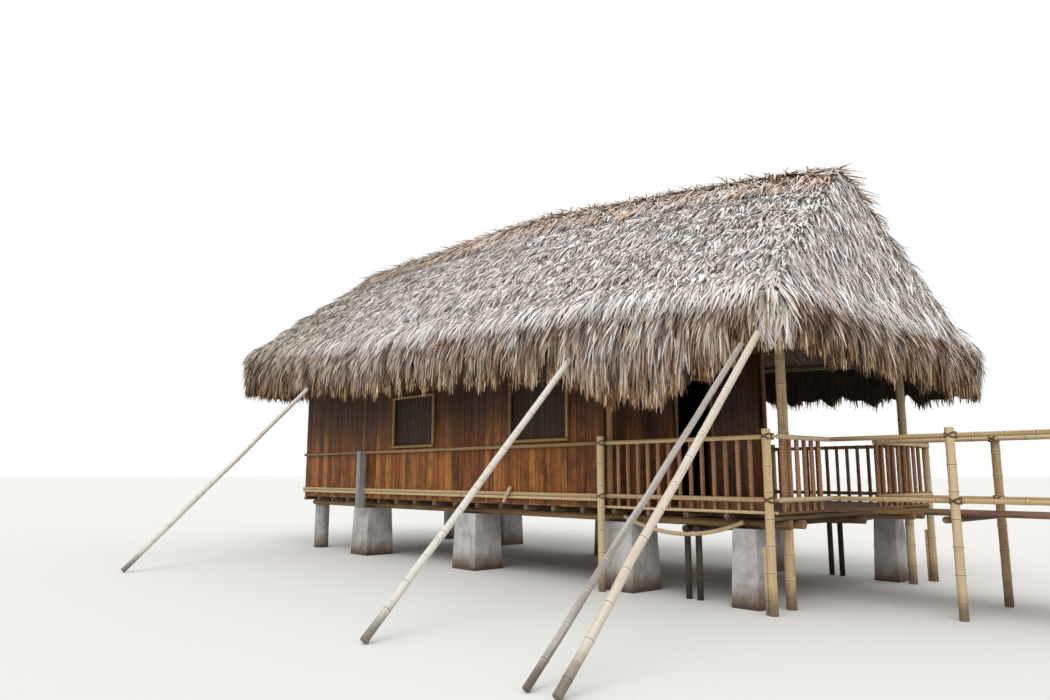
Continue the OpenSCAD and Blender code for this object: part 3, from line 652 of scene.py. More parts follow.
@dataclass(frozen=True)
class PoleFinish(Finish):
    """Round or sawn timber of the frame, dull and weathered."""

    run: Run = Run.ALONG_Y
    tones: tuple[str, ...] = ("#5b4630", "#8b6f4a", "#a78a5f")
    grime: str = "#3a2c1e"
    foot: str = "#2b2119"

    def wire(self, w: Wiring) -> dict[str, Any]:
        """Wires grain along the pole, grime, a damp foot and a bump.

        Args:
            w: Wiring of the material.

        Returns:
            The shader's inputs by name.
        """
        place = self.place(w)
        fibres = FIBRES.place(w, Vector=w.stretch(place, self.run.value), Coarse=12.0, Fine=90.0).outputs
        patches = PATCHES.place(w, Vector=place, Scale=2.6, Share=0.45).outputs[0]
        foot = DAMP_FOOT.place(w, Vector=place, Level=0.08, Soft=0.3, Ragged=0.3).outputs[0]
        colour = w.ramp(fibres["Tone"], self.tones)
        for mask, share, code in ((fibres["Lines"], 0.4, self.grime), (patches, 0.4, self.grime),
                                  (foot, 0.7, self.foot)):
            colour = w.tint(colour, mask, share, code)
        return {"Base_Color": colour, "Normal": self.bump(w, fibres["Height"], strength=0.5, distance=0.004)}


# Finishes of this house

PALE_TONES = ("#6e655f", "#d0c9c5", "#f6f3f2", "#fefdfd", "#e6e0dc", "#cdbcad", "#fdfcfc", "#f2ede9",
              "#8f8178")
THATCH_LEAF = LeafFinish("thatch_leaf", "thatch", 0.85, tones=PALE_TONES)
# The hanging strips' region ramp starts near black, so strips in thin spots between bunches are painted dark
# as the shade in those gaps.
FRINGE_LEAF = LeafFinish("hanging_leaf", "fringe_leaf", 0.85, tones=PALE_TONES, tip_low=0.4,
                         region_share=0.85,
                         region=("#120d09", "#33261a", "#a07b55", "#eedfcd", "#ffffff", "#fbf4ec", "#a87e54"),
                         region_places=(0.0, 0.28, 0.42, 0.54, 0.65, 0.85, 1.0))
RIDGE_LEAF = LeafFinish("ridge_tufts", "ridge_leaf", 0.85,
                        tones=("#9a7a58", "#e8ddd0", "#f7f2ec", "#c79d74", "#ffffff", "#efe5d8", "#b08a64"))
PACKED_LONG = PackedLeafFinish("packed_leaf_long", "thatch", 0.9, run=Run.UP_FRONT)
PACKED_END = PackedLeafFinish("packed_leaf_end", "thatch", 0.9, run=Run.UP_END)
# Near-black tones for the packed fringe under the hanging strips: painted shade that shows through the gaps
# between them.
FRINGE_SHADE_TONES = ("#17120d", "#342b20", "#574936")
PACKED_FRINGE_LONG = PackedLeafFinish("packed_fringe_long", "fringe_leaf", 0.9, run=Run.UP_FRONT,
                                      tones=FRINGE_SHADE_TONES)
PACKED_FRINGE_END = PackedLeafFinish("packed_fringe_end", "fringe_leaf", 0.9, run=Run.UP_END,
                                     tones=FRINGE_SHADE_TONES)
PACKED_RIDGE = PackedLeafFinish("packed_ridge", "ridge_leaf", 0.9, run=Run.UP_FRONT,
                                tones=("#2b2118", "#6b553c", "#927655"))
# The wall boards darken towards the top: painted shade under the eaves.
WALL_BOARD = BoardFinish("wall_board", "wall_board", 0.72,
                         tones=("#3a200c", "#744119", "#915724", "#b67639", "#573014", "#9a5c26", "#c2884a"),
                         stain_and_shade="#241205", bleach="#bd9058", stain_share=0.55, eave_shade=0.8)
FLOOR_BOARD = BoardFinish("floor_board", "floor_board", 0.75, run=Run.ALONG_X,
                          tones=("#5a3d26", "#7b5838", "#8f6b46"), stain_and_shade="#33231a", stain_share=0.5)
SHUTTER_BOARD = BoardFinish("shutter_board", "shutter_board", 0.75,
                            tones=("#251609", "#332010", "#412a18"), stain_and_shade="#180e06", bleach="#54402c")
KICK_BOARD = BoardFinish("kick_board", "shutter_board", 0.75, run=Run.ALONG_X,
                         tones=("#6e4a33", "#8a5f43", "#94684b"), stain_and_shade="#3f2a1c", bleach="#a5805f")
STRAW_CULM = CulmFinish("straw_culm", "straw_bamboo", 0.5,
                        tones=("#94784e", "#bea37a", "#d6c19c", "#c9ab7a", "#b08d60"), ring="#6e5438",
                        grime="#705a40", spacing=0.31, darkening=0.1)
# A darker copy of the straw culm for the wall hand rails and the window and door frames under the eaves: its
# darkness is painted shade.
EAVE_SHADED_CULM = CulmFinish("aged_culm", "straw_bamboo", 0.55,
                       tones=("#5b482e", "#846a44", "#a2825c", "#8f7045", "#745b39"), ring="#4a3824",
                       chalk="#b09a75", grime="#45351f", spacing=0.31)
RED_CULM = CulmFinish("red_culm", "red_bamboo", 0.5,
                      tones=("#6c4630", "#96684a", "#b48a66", "#8d5c3c", "#a67c5a"), ring="#4a3020",
                      chalk="#cfae8c", grime="#513423", spacing=0.24)
BLEACHED_CULM = CulmFinish("bleached_culm", "grey_bamboo", 0.6,
                           tones=("#766c6a", "#b5ada6", "#e2ddd4", "#d8d0c2", "#c6a988"), ring="#75685a",
                           chalk="#eae5da", grime="#857864", grime_share=0.4, spacing=0.36, darkening=0.12)
PIER_BLOCK = BlockFinish("pier_block", "grey_block", 0.88)
FRAME_LONG = PoleFinish("frame_pole_long", "round_timber", 0.75, run=Run.ALONG_X)
FRAME_CROSS = PoleFinish("frame_pole_cross", "round_timber", 0.75, run=Run.ALONG_Y,
                         tones=("#46362a", "#6e5741", "#8a7054"))
FRAME_UP = PoleFinish("frame_pole_up", "round_timber", 0.75, run=Run.ALONG_Z)
DARK_POST = PoleFinish("dark_post", "dark_post", 0.75, run=Run.ALONG_Z,
                       tones=("#2c241e", "#4c4038", "#5b4d42"), grime="#1f1914")
DARK_LOG = PoleFinish("dark_log", "dark_post", 0.75, run=Run.ALONG_Y,
                      tones=("#382d24", "#5d4d3f", "#766454"), grime="#241b14")
GREY_TIMBER = PoleFinish("grey_timber", "grey_timber", 0.85, run=Run.ALONG_Z,
                         tones=("#6f6d69", "#95938d", "#aaa8a1"), grime="#56534d")
TIE_VINE = PoleFinish("tie_vine", "dark_post", 0.8, run=Run.ALONG_Z,
                      tones=("#4a3826", "#6e5840", "#8a7152"), grime="#3a2b1d")


# Reading the CAD nodes

def merged(node: str) -> bmesh.types.BMesh:
    """Copies a CAD node's mesh with its doubled points merged.

    Args:
        node: Name of the CAD node.

    Returns:
        The copy, which the caller frees.
    """
    mesh = bmesh.new()
    mesh.from_mesh(NODES[node].data)
    bmesh.ops.remove_doubles(mesh, verts=mesh.verts, dist=MERGE_DISTANCE)
    mesh.normal_update()
    return mesh


def points_of(node: str) -> np.ndarray:
    """Returns the points of a CAD node, one row each."""
    return np.array([v.co[:] for v in NODES[node].data.vertices])


def parts_of(node: str) -> list[np.ndarray]:
    """Splits a CAD node into the points of its separate solids.

    Args:
        node: Name of the CAD node.

    Returns:
        One array of points for each solid, ordered along X, then Y, then Z.
    """
    mesh = merged(node)
    seen: set[int] = set()
    found = []
    for start in mesh.verts:
        if start.index in seen:
            continue
        seen.add(start.index)
        queue, members = [start], []
        while queue:
            point = queue.pop()
            members.append(point.co[:])
            for edge in point.link_edges:
                other = edge.other_vert(point)
                if other.index not in seen:
                    seen.add(other.index)
                    queue.append(other)
        found.append(np.array(members))
    mesh.free()
    return sorted(found, key=lambda part: tuple(part.mean(0).round(3)))


@dataclass(frozen=True)
class Culm:
    """One round pole: its two ends and its radius."""

    start: Vector
    end: Vector
    radius: float


def culms_of(node: str) -> list[Culm]:
    """Reads the axis and radius of each round pole in a CAD node.

    Args:
        node: Name of the CAD node.

    Returns:
        The poles, in the order of parts_of().
    """
    found = []
    for part in parts_of(node):
        centre = part.mean(0)
        _, _, ways = np.linalg.svd(part - centre, full_matrices=False)
        way = ways[0] if ways[0][np.argmax(np.abs(ways[0]))] > 0 else -ways[0]
        reach = (part - centre) @ way
        off = np.linalg.norm((part - centre) - np.outer(reach, way), axis=1)
        low, high = centre + way * reach.min(), centre + way * reach.max()
        found.append(Culm(Vector(low), Vector(high), float(np.median(off[off > off.max() * 0.9]))))
    return found


def sagging_culms_of(node: str, steps: int = 24) -> list[tuple[list[Vector], float]]:
    """Reads the axis of each culm in a CAD node that sags between its ends along X.

    Args:
        node: Name of the CAD node.
        steps: Pieces that each axis is cut into.

    Returns:
        The points of each axis and the culm's radius.
    """
    found = []
    for part in parts_of(node):
        low, high = part.min(0), part.max(0)
        radius = (high[1] - low[1]) / 2
        half = (high[0] - low[0]) / 2
        rise = high[2] - low[2] - 2 * radius
        line = []
        for i in range(steps + 1):
            t = 2 * i / steps - 1
            height = low[2] + radius + rise * t * t
            line.append(Vector((low[0] + half * (1 + t), (low[1] + high[1]) / 2, height)))
        found.append((line, float(radius)))
    return found


# Objects and geometry trees

def linked(name: str, data: Any) -> bpy.types.Object:
    """Makes an object of a mesh, camera or lamp and links it to the scene.

    Args:
        name: Name of the object.
        data: What it shows.

    Returns:
        The object, at the origin.
    """
    made = bpy.data.objects.new(name, data)
    bpy.context.scene.collection.objects.link(made)
    return made


def object_of(mesh: bmesh.types.BMesh, name: str) -> bpy.types.Object:
    """Turns an edited mesh into an object and frees it.

    Args:
        mesh: The edited mesh.
        name: Name of the object and its mesh.

    Returns:
        The object, at the origin.
    """
    plain = bpy.data.meshes.new(name)
    mesh.to_mesh(plain)
    mesh.free()
    return linked(name, plain)


def new_object(name: str, points: Sequence[Sequence[float]], edges: Sequence[Sequence[int]] = (),
               faces: Sequence[Sequence[int]] = ()) -> bpy.types.Object:
    """Makes an object from plain lists.

    Args:
        name: Name of the object and its mesh.
        points: Its points.
        edges: Its loose edges, as numbers of points.
        faces: Its faces, as numbers of points.

    Returns:
        The object, at the origin.
    """
    mesh = bpy.data.meshes.new(name)
    mesh.from_pydata([tuple(p) for p in points], [tuple(e) for e in edges], [tuple(f) for f in faces])
    mesh.update()
    return linked(name, mesh)


def note(obj: bpy.types.Object, name: str, values: Iterable[float], kind: str = "FLOAT") -> None:
    """Stores an attribute on the points of an object's mesh.

    Args:
        obj: The object.
        name: Name of the attribute.
        values: One number a point, or three where the kind is FLOAT_VECTOR.
        kind: Blender's name of the data type.
    """
    layer = obj.data.attributes.new(name, kind, "POINT")
    flat = np.asarray(list(values), dtype=np.float32).ravel()
    layer.data.foreach_set("vector" if kind == "FLOAT_VECTOR" else "value", flat)


def new_tree(name: str, inputs: dict[str, str]) -> tuple[Wiring, dict[str, Any], bpy.types.Node]:
    """Starts a geometry tree with named inputs.

    Args:
        name: Name of the tree.
        inputs: Input names with their socket types.

    Returns:
        The wiring, the input sockets by name, and the output node.
    """
    tree = bpy.data.node_groups.new(name, "GeometryNodeTree")
    tree.is_modifier = True
    tree.interface.new_socket("Geometry", in_out="INPUT", socket_type="NodeSocketGeometry")
    for key, kind in inputs.items():
        tree.interface.new_socket(key, in_out="INPUT", socket_type=f"NodeSocket{kind}")
    tree.interface.new_socket("Geometry", in_out="OUTPUT", socket_type="NodeSocketGeometry")
    w = Wiring(tree)
    entry = w.add("NodeGroupInput")
    return w, {s.name: s for s in entry.outputs if s.name}, w.add("NodeGroupOutput")


def end_tree(w: Wiring, shape: Any, material: Any, leave: bpy.types.Node) -> bpy.types.NodeTree:
    """Ends a geometry tree in Realize Instances and Set Material.

    Args:
        w: Wiring of the tree.
        shape: The geometry made by the tree.
        material: Socket with the material.
        leave: Output node of the tree.

    Returns:
        The finished tree.
    """
    real = w.add("GeometryNodeRealizeInstances", None, i0=shape)
    dressed = w.add("GeometryNodeSetMaterial", None, i0=real.outputs[0], i2=material)
    w.feed(leave, "i0", dressed.outputs[0])
    return w.tree


class Draw(Enum):
    """What a strip draws at random, as the steps from the layer's seed to the draw's own."""

    LIFT = 0
    ROLL = 1
    SWAY = 2
    SWAY_BACK = 3
    LENGTH = 4
    OVERHANG = 5
    WIDTH = 6
    CURL = 7
    TONE = 8
    KEPT = 9


OVERHANG_DRAW = (-1.5, 0.8)
WIDTH_DRAW = (0.55, 1.45)
SHORTEST_STRIP = 0.08
THIN_SPOT = (0.38, 0.46)


def strip_tree() -> bpy.types.NodeTree:
    """Builds the tree that lays leaf strips on a guide surface, each from its root down the slope.

    The guide's points say the way out (up), the way along (down), the length that has room (reach), the
    height over the lowest leaf (height), how freely a strip sways (loose), how far down it starts (rooted)
    and the share of strips that are kept (weight).

    Returns:
        The finished tree.
    """
    w, ins, leave = new_tree("leaf_strips", {
        "Strip": "Object", "Density": "Float", "Length": "Float", "Length Spread": "Float", "Width": "Float",
        "Lift": "Float", "Lift Spread": "Float", "Sway": "Float", "Roll": "Float", "Overhang": "Float",
        "Clump": "Float", "Clump Size": "Float", "Filled": "Float", "Stretch": "Vector",
        "Least Curl": "Float", "Seed": "Int", "Material": "Material"})

    def draw(what: Draw, low: Any = 0.0, high: Any = 1.0) -> Socket:
        """Draws a number for each strip, from the draw's own seed."""
        return w.random(low, high, w.plus(ins["Seed"], float(what.value)) if what.value else ins["Seed"])

    place = w.position()
    spread = w.add("GeometryNodeDistributePointsOnFaces", {"distribute_method": "RANDOM"},
                   Mesh=ins["Geometry"], Density=ins["Density"], Seed=ins["Seed"])
    facing = w.add("FunctionNodeAxesToRotation", {"primary_axis": "Z", "secondary_axis": "Y"},
                   i0=w.named("up", "FLOAT_VECTOR"), i1=w.named("down", "FLOAT_VECTOR"))
    bunched = w.noise(w.stretch(place, ins["Stretch"]), scale=1.0, detail=2.0, roughness=0.6)
    around, spare = ins["Lift Spread"], ins["Length Spread"]
    raised = draw(Draw.LIFT, w.minus(ins["Lift"], around), w.plus(ins["Lift"], around))
    lift = w.plus(raised, w.centred(bunched, around))
    roll = draw(Draw.ROLL, w.times(ins["Roll"], -1.0), ins["Roll"])
    sway = w.minus(w.plus(draw(Draw.SWAY), draw(Draw.SWAY_BACK)), 1.0)
    lean = w.centred(w.noise(place, w.over(1.0, ins["Clump Size"]), detail=2.0), ins["Clump"])
    swayed = w.times(w.times(sway, ins["Sway"]), w.named("loose"))
    turn = w.add("FunctionNodeEulerToRotation", None, i0=w.combine(lift, roll, w.plus(swayed, lean)))
    aimed = w.add("FunctionNodeRotateRotation", {"rotation_space": "LOCAL"},
                  i0=facing.outputs[0], i1=turn.outputs[0])
    free = w.times(ins["Length"], draw(Draw.LENGTH, w.minus(1.0, spare), w.plus(1.0, spare)))
    past = w.times(w.times(ins["Overhang"], w.named("rooted")), draw(Draw.OVERHANG, *OVERHANG_DRAW))
    most = w.plus(w.named("reach"), past)
    length = w.math("MAXIMUM", w.math("MINIMUM", free, most), SHORTEST_STRIP)
    width = w.times(ins["Width"], draw(Draw.WIDTH, *WIDTH_DRAW))
    curl = w.times(length, draw(Draw.CURL, ins["Least Curl"], 1.0))
    strip = w.add("GeometryNodeObjectInfo", None, Object=ins["Strip"])
    kept = w.times(w.span(bunched, *THIN_SPOT, ins["Filled"], 1.0), w.named("weight"))
    chosen = w.math("LESS_THAN", draw(Draw.KEPT), kept)
    laid = w.add("GeometryNodeInstanceOnPoints", None, i0=spread.outputs["Points"], i1=chosen,
                 i2=strip.outputs["Geometry"], i5=aimed.outputs[0], i6=w.combine(width, length, curl))
    strips = laid.outputs[0]
    for name, value in (("tone", draw(Draw.TONE)), ("bunch", bunched),
                        ("low", w.span(w.named("height"), 0.0, 1.0, 1.0, 0.0)), ("root", w.named("rooted"))):
        strips = w.store(strips, name, value, "INSTANCE")
    return end_tree(w, strips, ins["Material"], leave)


def culm_tree() -> bpy.types.NodeTree:
    """Builds the tree that turns straight edges into bamboo culms with swollen rings and a slight bend.

    The guide's points say the radius (thick) and how far the rings are moved along the culm (shift).

    Returns:
        The finished tree.
    """
    w, ins, leave = new_tree("bamboo_culms", {
        "Step": "Float", "Spacing": "Float", "Swell": "Float", "Bend": "Float", "Sides": "Int",
        "Material": "Material"})
    curve = w.add("GeometryNodeMeshToCurve", None, i0=ins["Geometry"])
    fine = w.add("GeometryNodeResampleCurve", {"mode": "LENGTH"}, Curve=curve.outputs[0], Length=ins["Step"])
    spline = w.add("GeometryNodeSplineParameter").outputs
    noted = w.store(fine.outputs[0], "along", w.plus(spline["Length"], w.named("shift")), "POINT")
    height_to_one = 4.0
    arch = w.times(w.times(spline["Factor"], w.minus(1.0, spline["Factor"])), height_to_one)
    waver = w.add("ShaderNodeTexNoise", None, Vector=w.position(), Scale=0.9, Detail=1.0).outputs[1]
    offset = w.add("ShaderNodeVectorMath", {"operation": "SCALE"},
                   i0=w.vector_math("SUBTRACT", waver, (0.5, 0.5, 0.5)), Scale=w.times(arch, ins["Bend"]))
    bent = w.add("GeometryNodeSetPosition", None, Geometry=noted, Offset=offset.outputs[0])
    away = w.from_ring(w.named("along"), ins["Spacing"])
    steps_wide = 1.1
    ring = w.span(away, 0.0, w.times(ins["Step"], steps_wide), 1.0, 0.0)
    radius = w.times(w.named("thick"), w.plus(1.0, w.times(ring, ins["Swell"])))
    sized = w.add("GeometryNodeSetCurveRadius", None, Curve=bent.outputs[0], Radius=radius)
    circle = w.add("GeometryNodeCurvePrimitiveCircle", None, Resolution=ins["Sides"], Radius=1.0)
    profile = w.store(circle.outputs[0], "side", w.position(), "POINT", "FLOAT_VECTOR")
    tube = w.add("GeometryNodeCurveToMesh", None, i0=sized.outputs[0], i1=profile, Fill_Caps=True,
                 Scale=w.add("GeometryNodeInputRadius").outputs[0])
    return end_tree(w, tube.outputs[0], ins["Material"], leave)


def board_tree() -> bpy.types.NodeTree:
    """Builds the tree that sets a board on each point of the guide, by the point's size and tone.

    Returns:
        The finished tree.
    """
    w, ins, leave = new_tree("laid_boards", {"Skew": "Float", "Seed": "Int", "Material": "Material"})
    cube = w.add("GeometryNodeMeshCube")
    points = w.add("GeometryNodeMeshToPoints", None, i0=ins["Geometry"])
    low = w.combine(*[w.times(ins["Skew"], -1.0)] * 3)
    high = w.combine(*[ins["Skew"]] * 3)
    skew = w.add("FunctionNodeRandomValue", {"data_type": "FLOAT_VECTOR"}, i0=low, i1=high, i8=ins["Seed"])
    turn = w.add("FunctionNodeEulerToRotation", None, i0=skew.outputs[0])
    laid = w.add("GeometryNodeInstanceOnPoints", None, i0=points.outputs[0], i2=cube.outputs[0],
                 i5=turn.outputs[0], i6=w.named("size", "FLOAT_VECTOR"))
    return end_tree(w, laid.outputs[0], ins["Material"], leave)


_TREES: dict[str, bpy.types.NodeTree] = {}


def tree_of(build: Callable[[], bpy.types.NodeTree]) -> bpy.types.NodeTree:
    """Builds a geometry tree once and hands the same one out after that.

    Args:
        build: Function that builds it.

    Returns:
        The tree.
    """
    if build.__name__ not in _TREES:
        _TREES[build.__name__] = build()
    return _TREES[build.__name__]


def grow(guide: bpy.types.Object, tree: bpy.types.NodeTree, values: dict[str, Any], name: str,
         bevel: float = 0.0) -> bpy.types.Object:
    """Runs a geometry tree on a guide and keeps its result as a plain mesh.

    Args:
        guide: Object with the guide mesh, which is used up.
        tree: Geometry tree to run.
        values: Values of the tree's inputs by name.
        name: Name of the new piece.
        bevel: Width of a bevel laid over the result, or nothing.

    Returns:
        The new piece, at the origin.
    """
    modifier = guide.modifiers.new(tree.name, "NODES")
    modifier.node_group = tree
    for item in tree.interface.items_tree:
        if item.item_type == "SOCKET" and item.in_out == "INPUT" and item.name in values:
            modifier[item.identifier] = values[item.name]
    if bevel > 0:
        edge = guide.modifiers.new("edges", "BEVEL")
        edge.width = bevel
        edge.segments = 1
        edge.limit_method = "ANGLE"
    bpy.context.view_layer.update()
    graph = bpy.context.evaluated_depsgraph_get()
    mesh = bpy.data.meshes.new_from_object(guide.evaluated_get(graph), preserve_all_data_layers=True,
                                           depsgraph=graph)
    mesh.name = name
    used = [m for m in mesh.materials if m]
    mesh.materials.clear()
    mesh.materials.append(used[0])
    mesh.polygons.foreach_set("material_index", [0] * len(mesh.polygons))
    made = linked(name, mesh)
    old = guide.data
    bpy.data.objects.remove(guide)
    bpy.data.meshes.remove(old)
    return made


def settle(piece: bpy.types.Object, finish: Finish, *nodes: str) -> bpy.types.Object:
    """Makes a finished piece part of the house and hides the CAD nodes it stands for.

    Args:
        piece: The finished piece.
        finish: Its finish; not used.
        *nodes: The CAD nodes.

    Returns:
        The same piece.
    """
    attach(piece, BODY)
    if nodes:
        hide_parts(*nodes)
    LOG.info("%s: %d faces", piece.name, len(piece.data.polygons))
    return piece


def dress(finish: Finish, *nodes: str) -> None:
    """Gives CAD nodes their material.

    Args:
        finish: The finish.
        *nodes: The CAD nodes.
    """
    for node in nodes:
        slots = NODES[node].data.materials
        slots.clear()
        slots.append(finish.material())
        LOG.info("%s dressed as %s", node, finish.name)


# Roof

ENDLESS = 9.0


def mark_guide(guide: bpy.types.Object, ups: Sequence[Vector], **values: Sequence[float]) -> None:
    """Stores on a guide what the strips read there, with the way along each strip from the way out.

    Args:
        guide: The guide object.
        ups: Way out of the roof at each point.
        **values: Single values by name, one a point.
    """
    downs = [DOWN + up * up.z for up in ups]
    downs = [down.normalized() if down.length > 1e-3 else Vector((0, -1, 0)) for down in downs]
    note(guide, "up", [c for up in ups for c in up], "FLOAT_VECTOR")
    note(guide, "down", [c for down in downs for c in down], "FLOAT_VECTOR")
    for name, column in values.items():
        note(guide, name, column)


@dataclass
class LeafLayer:
    """One layer of leaf strips on the skin of a CAD node.

    Lengths and widths are in metres, lift, sway and roll in radians, the density in strips a square metre.
    """

    node: str
    finish: LeafFinish
    density: float
    seed: int
    length: float
    length_spread: float
    width: float
    lift: float
    lift_spread: float
    sway: float
    roll: float
    overhang: float = 0.0
    clump: float = 0.0
    clump_size: float = 0.3
    hanging: bool = False
    facing: Triple = (0.0, 0.0, 1.0)
    least: float = 0.15
    filled: float = 0.8
    stretch: Triple = (5.0, 5.0, 5.0)
    shoulder: float = 0.0
    least_curl: float = -0.35
    edge_band: float = 0.05
    edge_rise: float = 0.12
    column: float = 0.12
    rolled_share: float = 0.3
    past_eave: float = 0.32
    steepest: float = 0.25

    def skin(self) -> bpy.types.Object:
        """Copies the outward skin of the node and marks it with what the strips read there.

        Returns:
            The guide object for the strips.
        """
        mesh = merged(self.node)
        way = Vector(self.facing)
        out = Vector((way.x, way.y, 0.0)).normalized() if way.xy.length > 0.01 else Vector()
        edge = max(v.co.dot(out) for v in mesh.verts)
        inner = [f for f in mesh.faces if f.normal.dot(way) < self.least
                 or (not self.hanging and f.normal.z < self.edge_rise
                     and f.calc_center_median().dot(out) > edge - self.edge_band)]
        bmesh.ops.delete(mesh, geom=inner, context="FACES")
        mesh.normal_update()
        points = [v.co.copy() for v in mesh.verts]
        normals = [v.normal.copy() for v in mesh.verts]
        guide = object_of(mesh, self.node + "_skin")
        if self.hanging:
            self.mark_curtain(guide, points, normals)
        else:
            self.mark_slope(guide, normals, [
                (edge - p.dot(out)) / max(self.steepest, n.z) if out.length else ENDLESS
                for p, n in zip(points, normals)])
        return guide

    def sideways(self, normals: Sequence[Vector]) -> list[Vector]:
        """Returns the level part of each normal, or straight up where it has none."""
        return [Vector((n.x, n.y, 0.0)).normalized() if n.xy.length > 0.02 else UP.copy() for n in normals]

    def mark_curtain(self, guide: bpy.types.Object, points: Sequence[Vector],
                     normals: Sequence[Vector]) -> None:
        """Marks the skin of a fringe, whose strips hang down to its ragged lower edge.

        Args:
            guide: The guide object.
            points: Its points.
            normals: Way out of the fringe at each point.
        """
        axis = 0 if abs(self.facing[1]) > abs(self.facing[0]) else 1
        key = np.array([p[axis] for p in points])
        height = np.array([p.z for p in points])
        near = [height[np.abs(key - p[axis]) < self.column] for p in points]
        drops = [float(p.z - n.min()) for p, n in zip(points, near)]
        shares = [(n.max() - p.z) / max(0.1, n.max() - n.min()) for p, n in zip(points, near)]
        rolled = self.rolled_share
        shortest, longer, top_lift, top_sway, swaying = 0.2, 1.6, 0.9, 2.0, 0.35
        ups = [(out + UP * top_lift * max(0.0, 1 - share / rolled)).normalized()
               for out, share in zip(self.sideways(normals), shares)]
        reaches = [min(drop, shortest + longer * share) if share < rolled else drop
                   for drop, share in zip(drops, shares)]
        mark_guide(guide, ups, height=drops, weight=[1.0] * len(points), reach=reaches,
                   loose=[1 + top_sway * max(0.0, 1 - share / swaying) for share in shares],
                   rooted=[min(1.0, share / rolled) for share in shares])

    def mark_slope(self, guide: bpy.types.Object, normals: Sequence[Vector], room: Sequence[float]) -> None:
        """Marks the skin of a slope, whose strips run down it and, on its shoulder, roll over the eave.

        Args:
            guide: The guide object.
            normals: Way out of the roof at each point.
            room: Length from each point down to the eave.
        """
        outward, upward = 0.62, 0.78
        aims = [o * outward + UP * upward if self.shoulder else o for o in self.sideways(normals)]
        bend = 0.8 if self.shoulder else 0.5
        band = 0.3 + self.shoulder
        ups = [n.lerp(a, bend * min(1.0, max(0.0, 1 - r / band))).normalized()
               for n, a, r in zip(normals, aims, room)]
        least, fade, level = 0.1, 0.6, 0.2
        shown = [least + (1 - least) * min(1.0, max(0.0, r) / fade) for r in room]
        rooted = [share * min(1.0, max(0.0, (1.0 - n.z) / level)) for share, n in zip(shown, normals)]
        mark_guide(guide, ups, height=[ENDLESS] * len(room), loose=[1.0] * len(room), rooted=rooted,
                   reach=[r + self.past_eave + 0.3 * self.shoulder for r in room],
                   weight=[max(0.0, 1 - r / self.shoulder) if self.shoulder else 1.0 for r in room])

    def build(self, strip: bpy.types.Object, name: str) -> bpy.types.Object:
        """Lays the strips.

        Args:
            strip: Template of one leaf strip.
            name: Name of the piece.

        Returns:
            The piece with all strips.
        """
        sizes = {"Density": self.density, "Length": self.length, "Length Spread": self.length_spread,
                 "Width": self.width, "Lift": self.lift, "Lift Spread": self.lift_spread, "Sway": self.sway,
                 "Roll": self.roll, "Overhang": self.overhang, "Clump": self.clump,
                 "Clump Size": self.clump_size, "Filled": self.filled, "Stretch": self.stretch,
                 "Least Curl": self.least_curl}
        values = {"Strip": strip, "Seed": self.seed, "Material": self.finish.material(), **sizes}
        return settle(grow(self.skin(), tree_of(strip_tree), values, name), self.finish)


@dataclass
class CornerTufts(LeafLayer):
    """Strips that fan out over the four corners of the eaves, where two fringes meet.

    Each ring round a corner has its radius, its height over the corner and how level its strips start.
    """

    rings: tuple[Triple, ...] = ((0.0, 0.05, 0.8), (0.09, 0.0, 1.2), (0.16, -0.10, 2.0), (0.18, -0.38, 4.0))
    angles: tuple[float, ...] = (-75.0, -45.0, -15.0, 15.0, 45.0, 75.0)
    near: float = 0.01
    foot_reach: float = 0.25
    below_foot: float = 0.08

    def corners(self) -> list[tuple[Vector, Vector, float]]:
        """Finds the roof's corners.

        Returns:
            The top of each corner, its way out and the height of the fringe's foot below it.
        """
        found = []
        for node, fringe, side in (("thatch_front", "fringe_front", -1), ("thatch_back", "fringe_back", 1)):
            low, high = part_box(node)
            outer, leaves = points_of(node), points_of(fringe)
            eave = low.y if side < 0 else high.y
            for x in (outer[:, 0].min(), outer[:, 0].max()):
                corner = outer[(abs(outer[:, 0] - x) < self.near) & (abs(outer[:, 1] - eave) < self.near)]
                below = leaves[np.hypot(leaves[:, 0] - x, leaves[:, 1] - eave) < self.foot_reach]
                found.append((Vector(corner[np.argmax(corner[:, 2])]),
                              Vector((math.copysign(1, x), side, 0)).normalized(), below[:, 2].min()))
        return found

    def skin(self) -> bpy.types.Object:
        """Makes a quarter of a cone round each corner.

        Returns:
            The guide object for the strips.
        """
        points: list[Vector] = []
        faces: list[tuple[int, ...]] = []
        ups: list[Vector] = []
        reaches: list[float] = []
        wide = len(self.angles)
        for top, way, foot in self.corners():
            first = len(points)
            for radius, rise, level in self.rings:
                for angle in self.angles:
                    out = way.copy()
                    out.rotate(Euler((0, 0, math.radians(angle))))
                    points.append(top + out * radius + Vector((0, 0, rise)))
                    ups.append((out * level + Vector((0, 0, 0.9 / level))).normalized())
                    reaches.append(float(points[-1].z - foot) + self.below_foot)
            for i in range(len(self.rings) - 1):
                for a in range(first + i * wide, first + (i + 1) * wide - 1):
                    faces.append((a, a + 1, a + wide + 1, a + wide))
        guide = new_object("corner_guide", points, (), faces)
        count = len(points)
        mark_guide(guide, ups, reach=reaches, height=reaches, loose=[2.0] * count, rooted=[0.2] * count,
                   weight=[1.0] * count)
        return guide


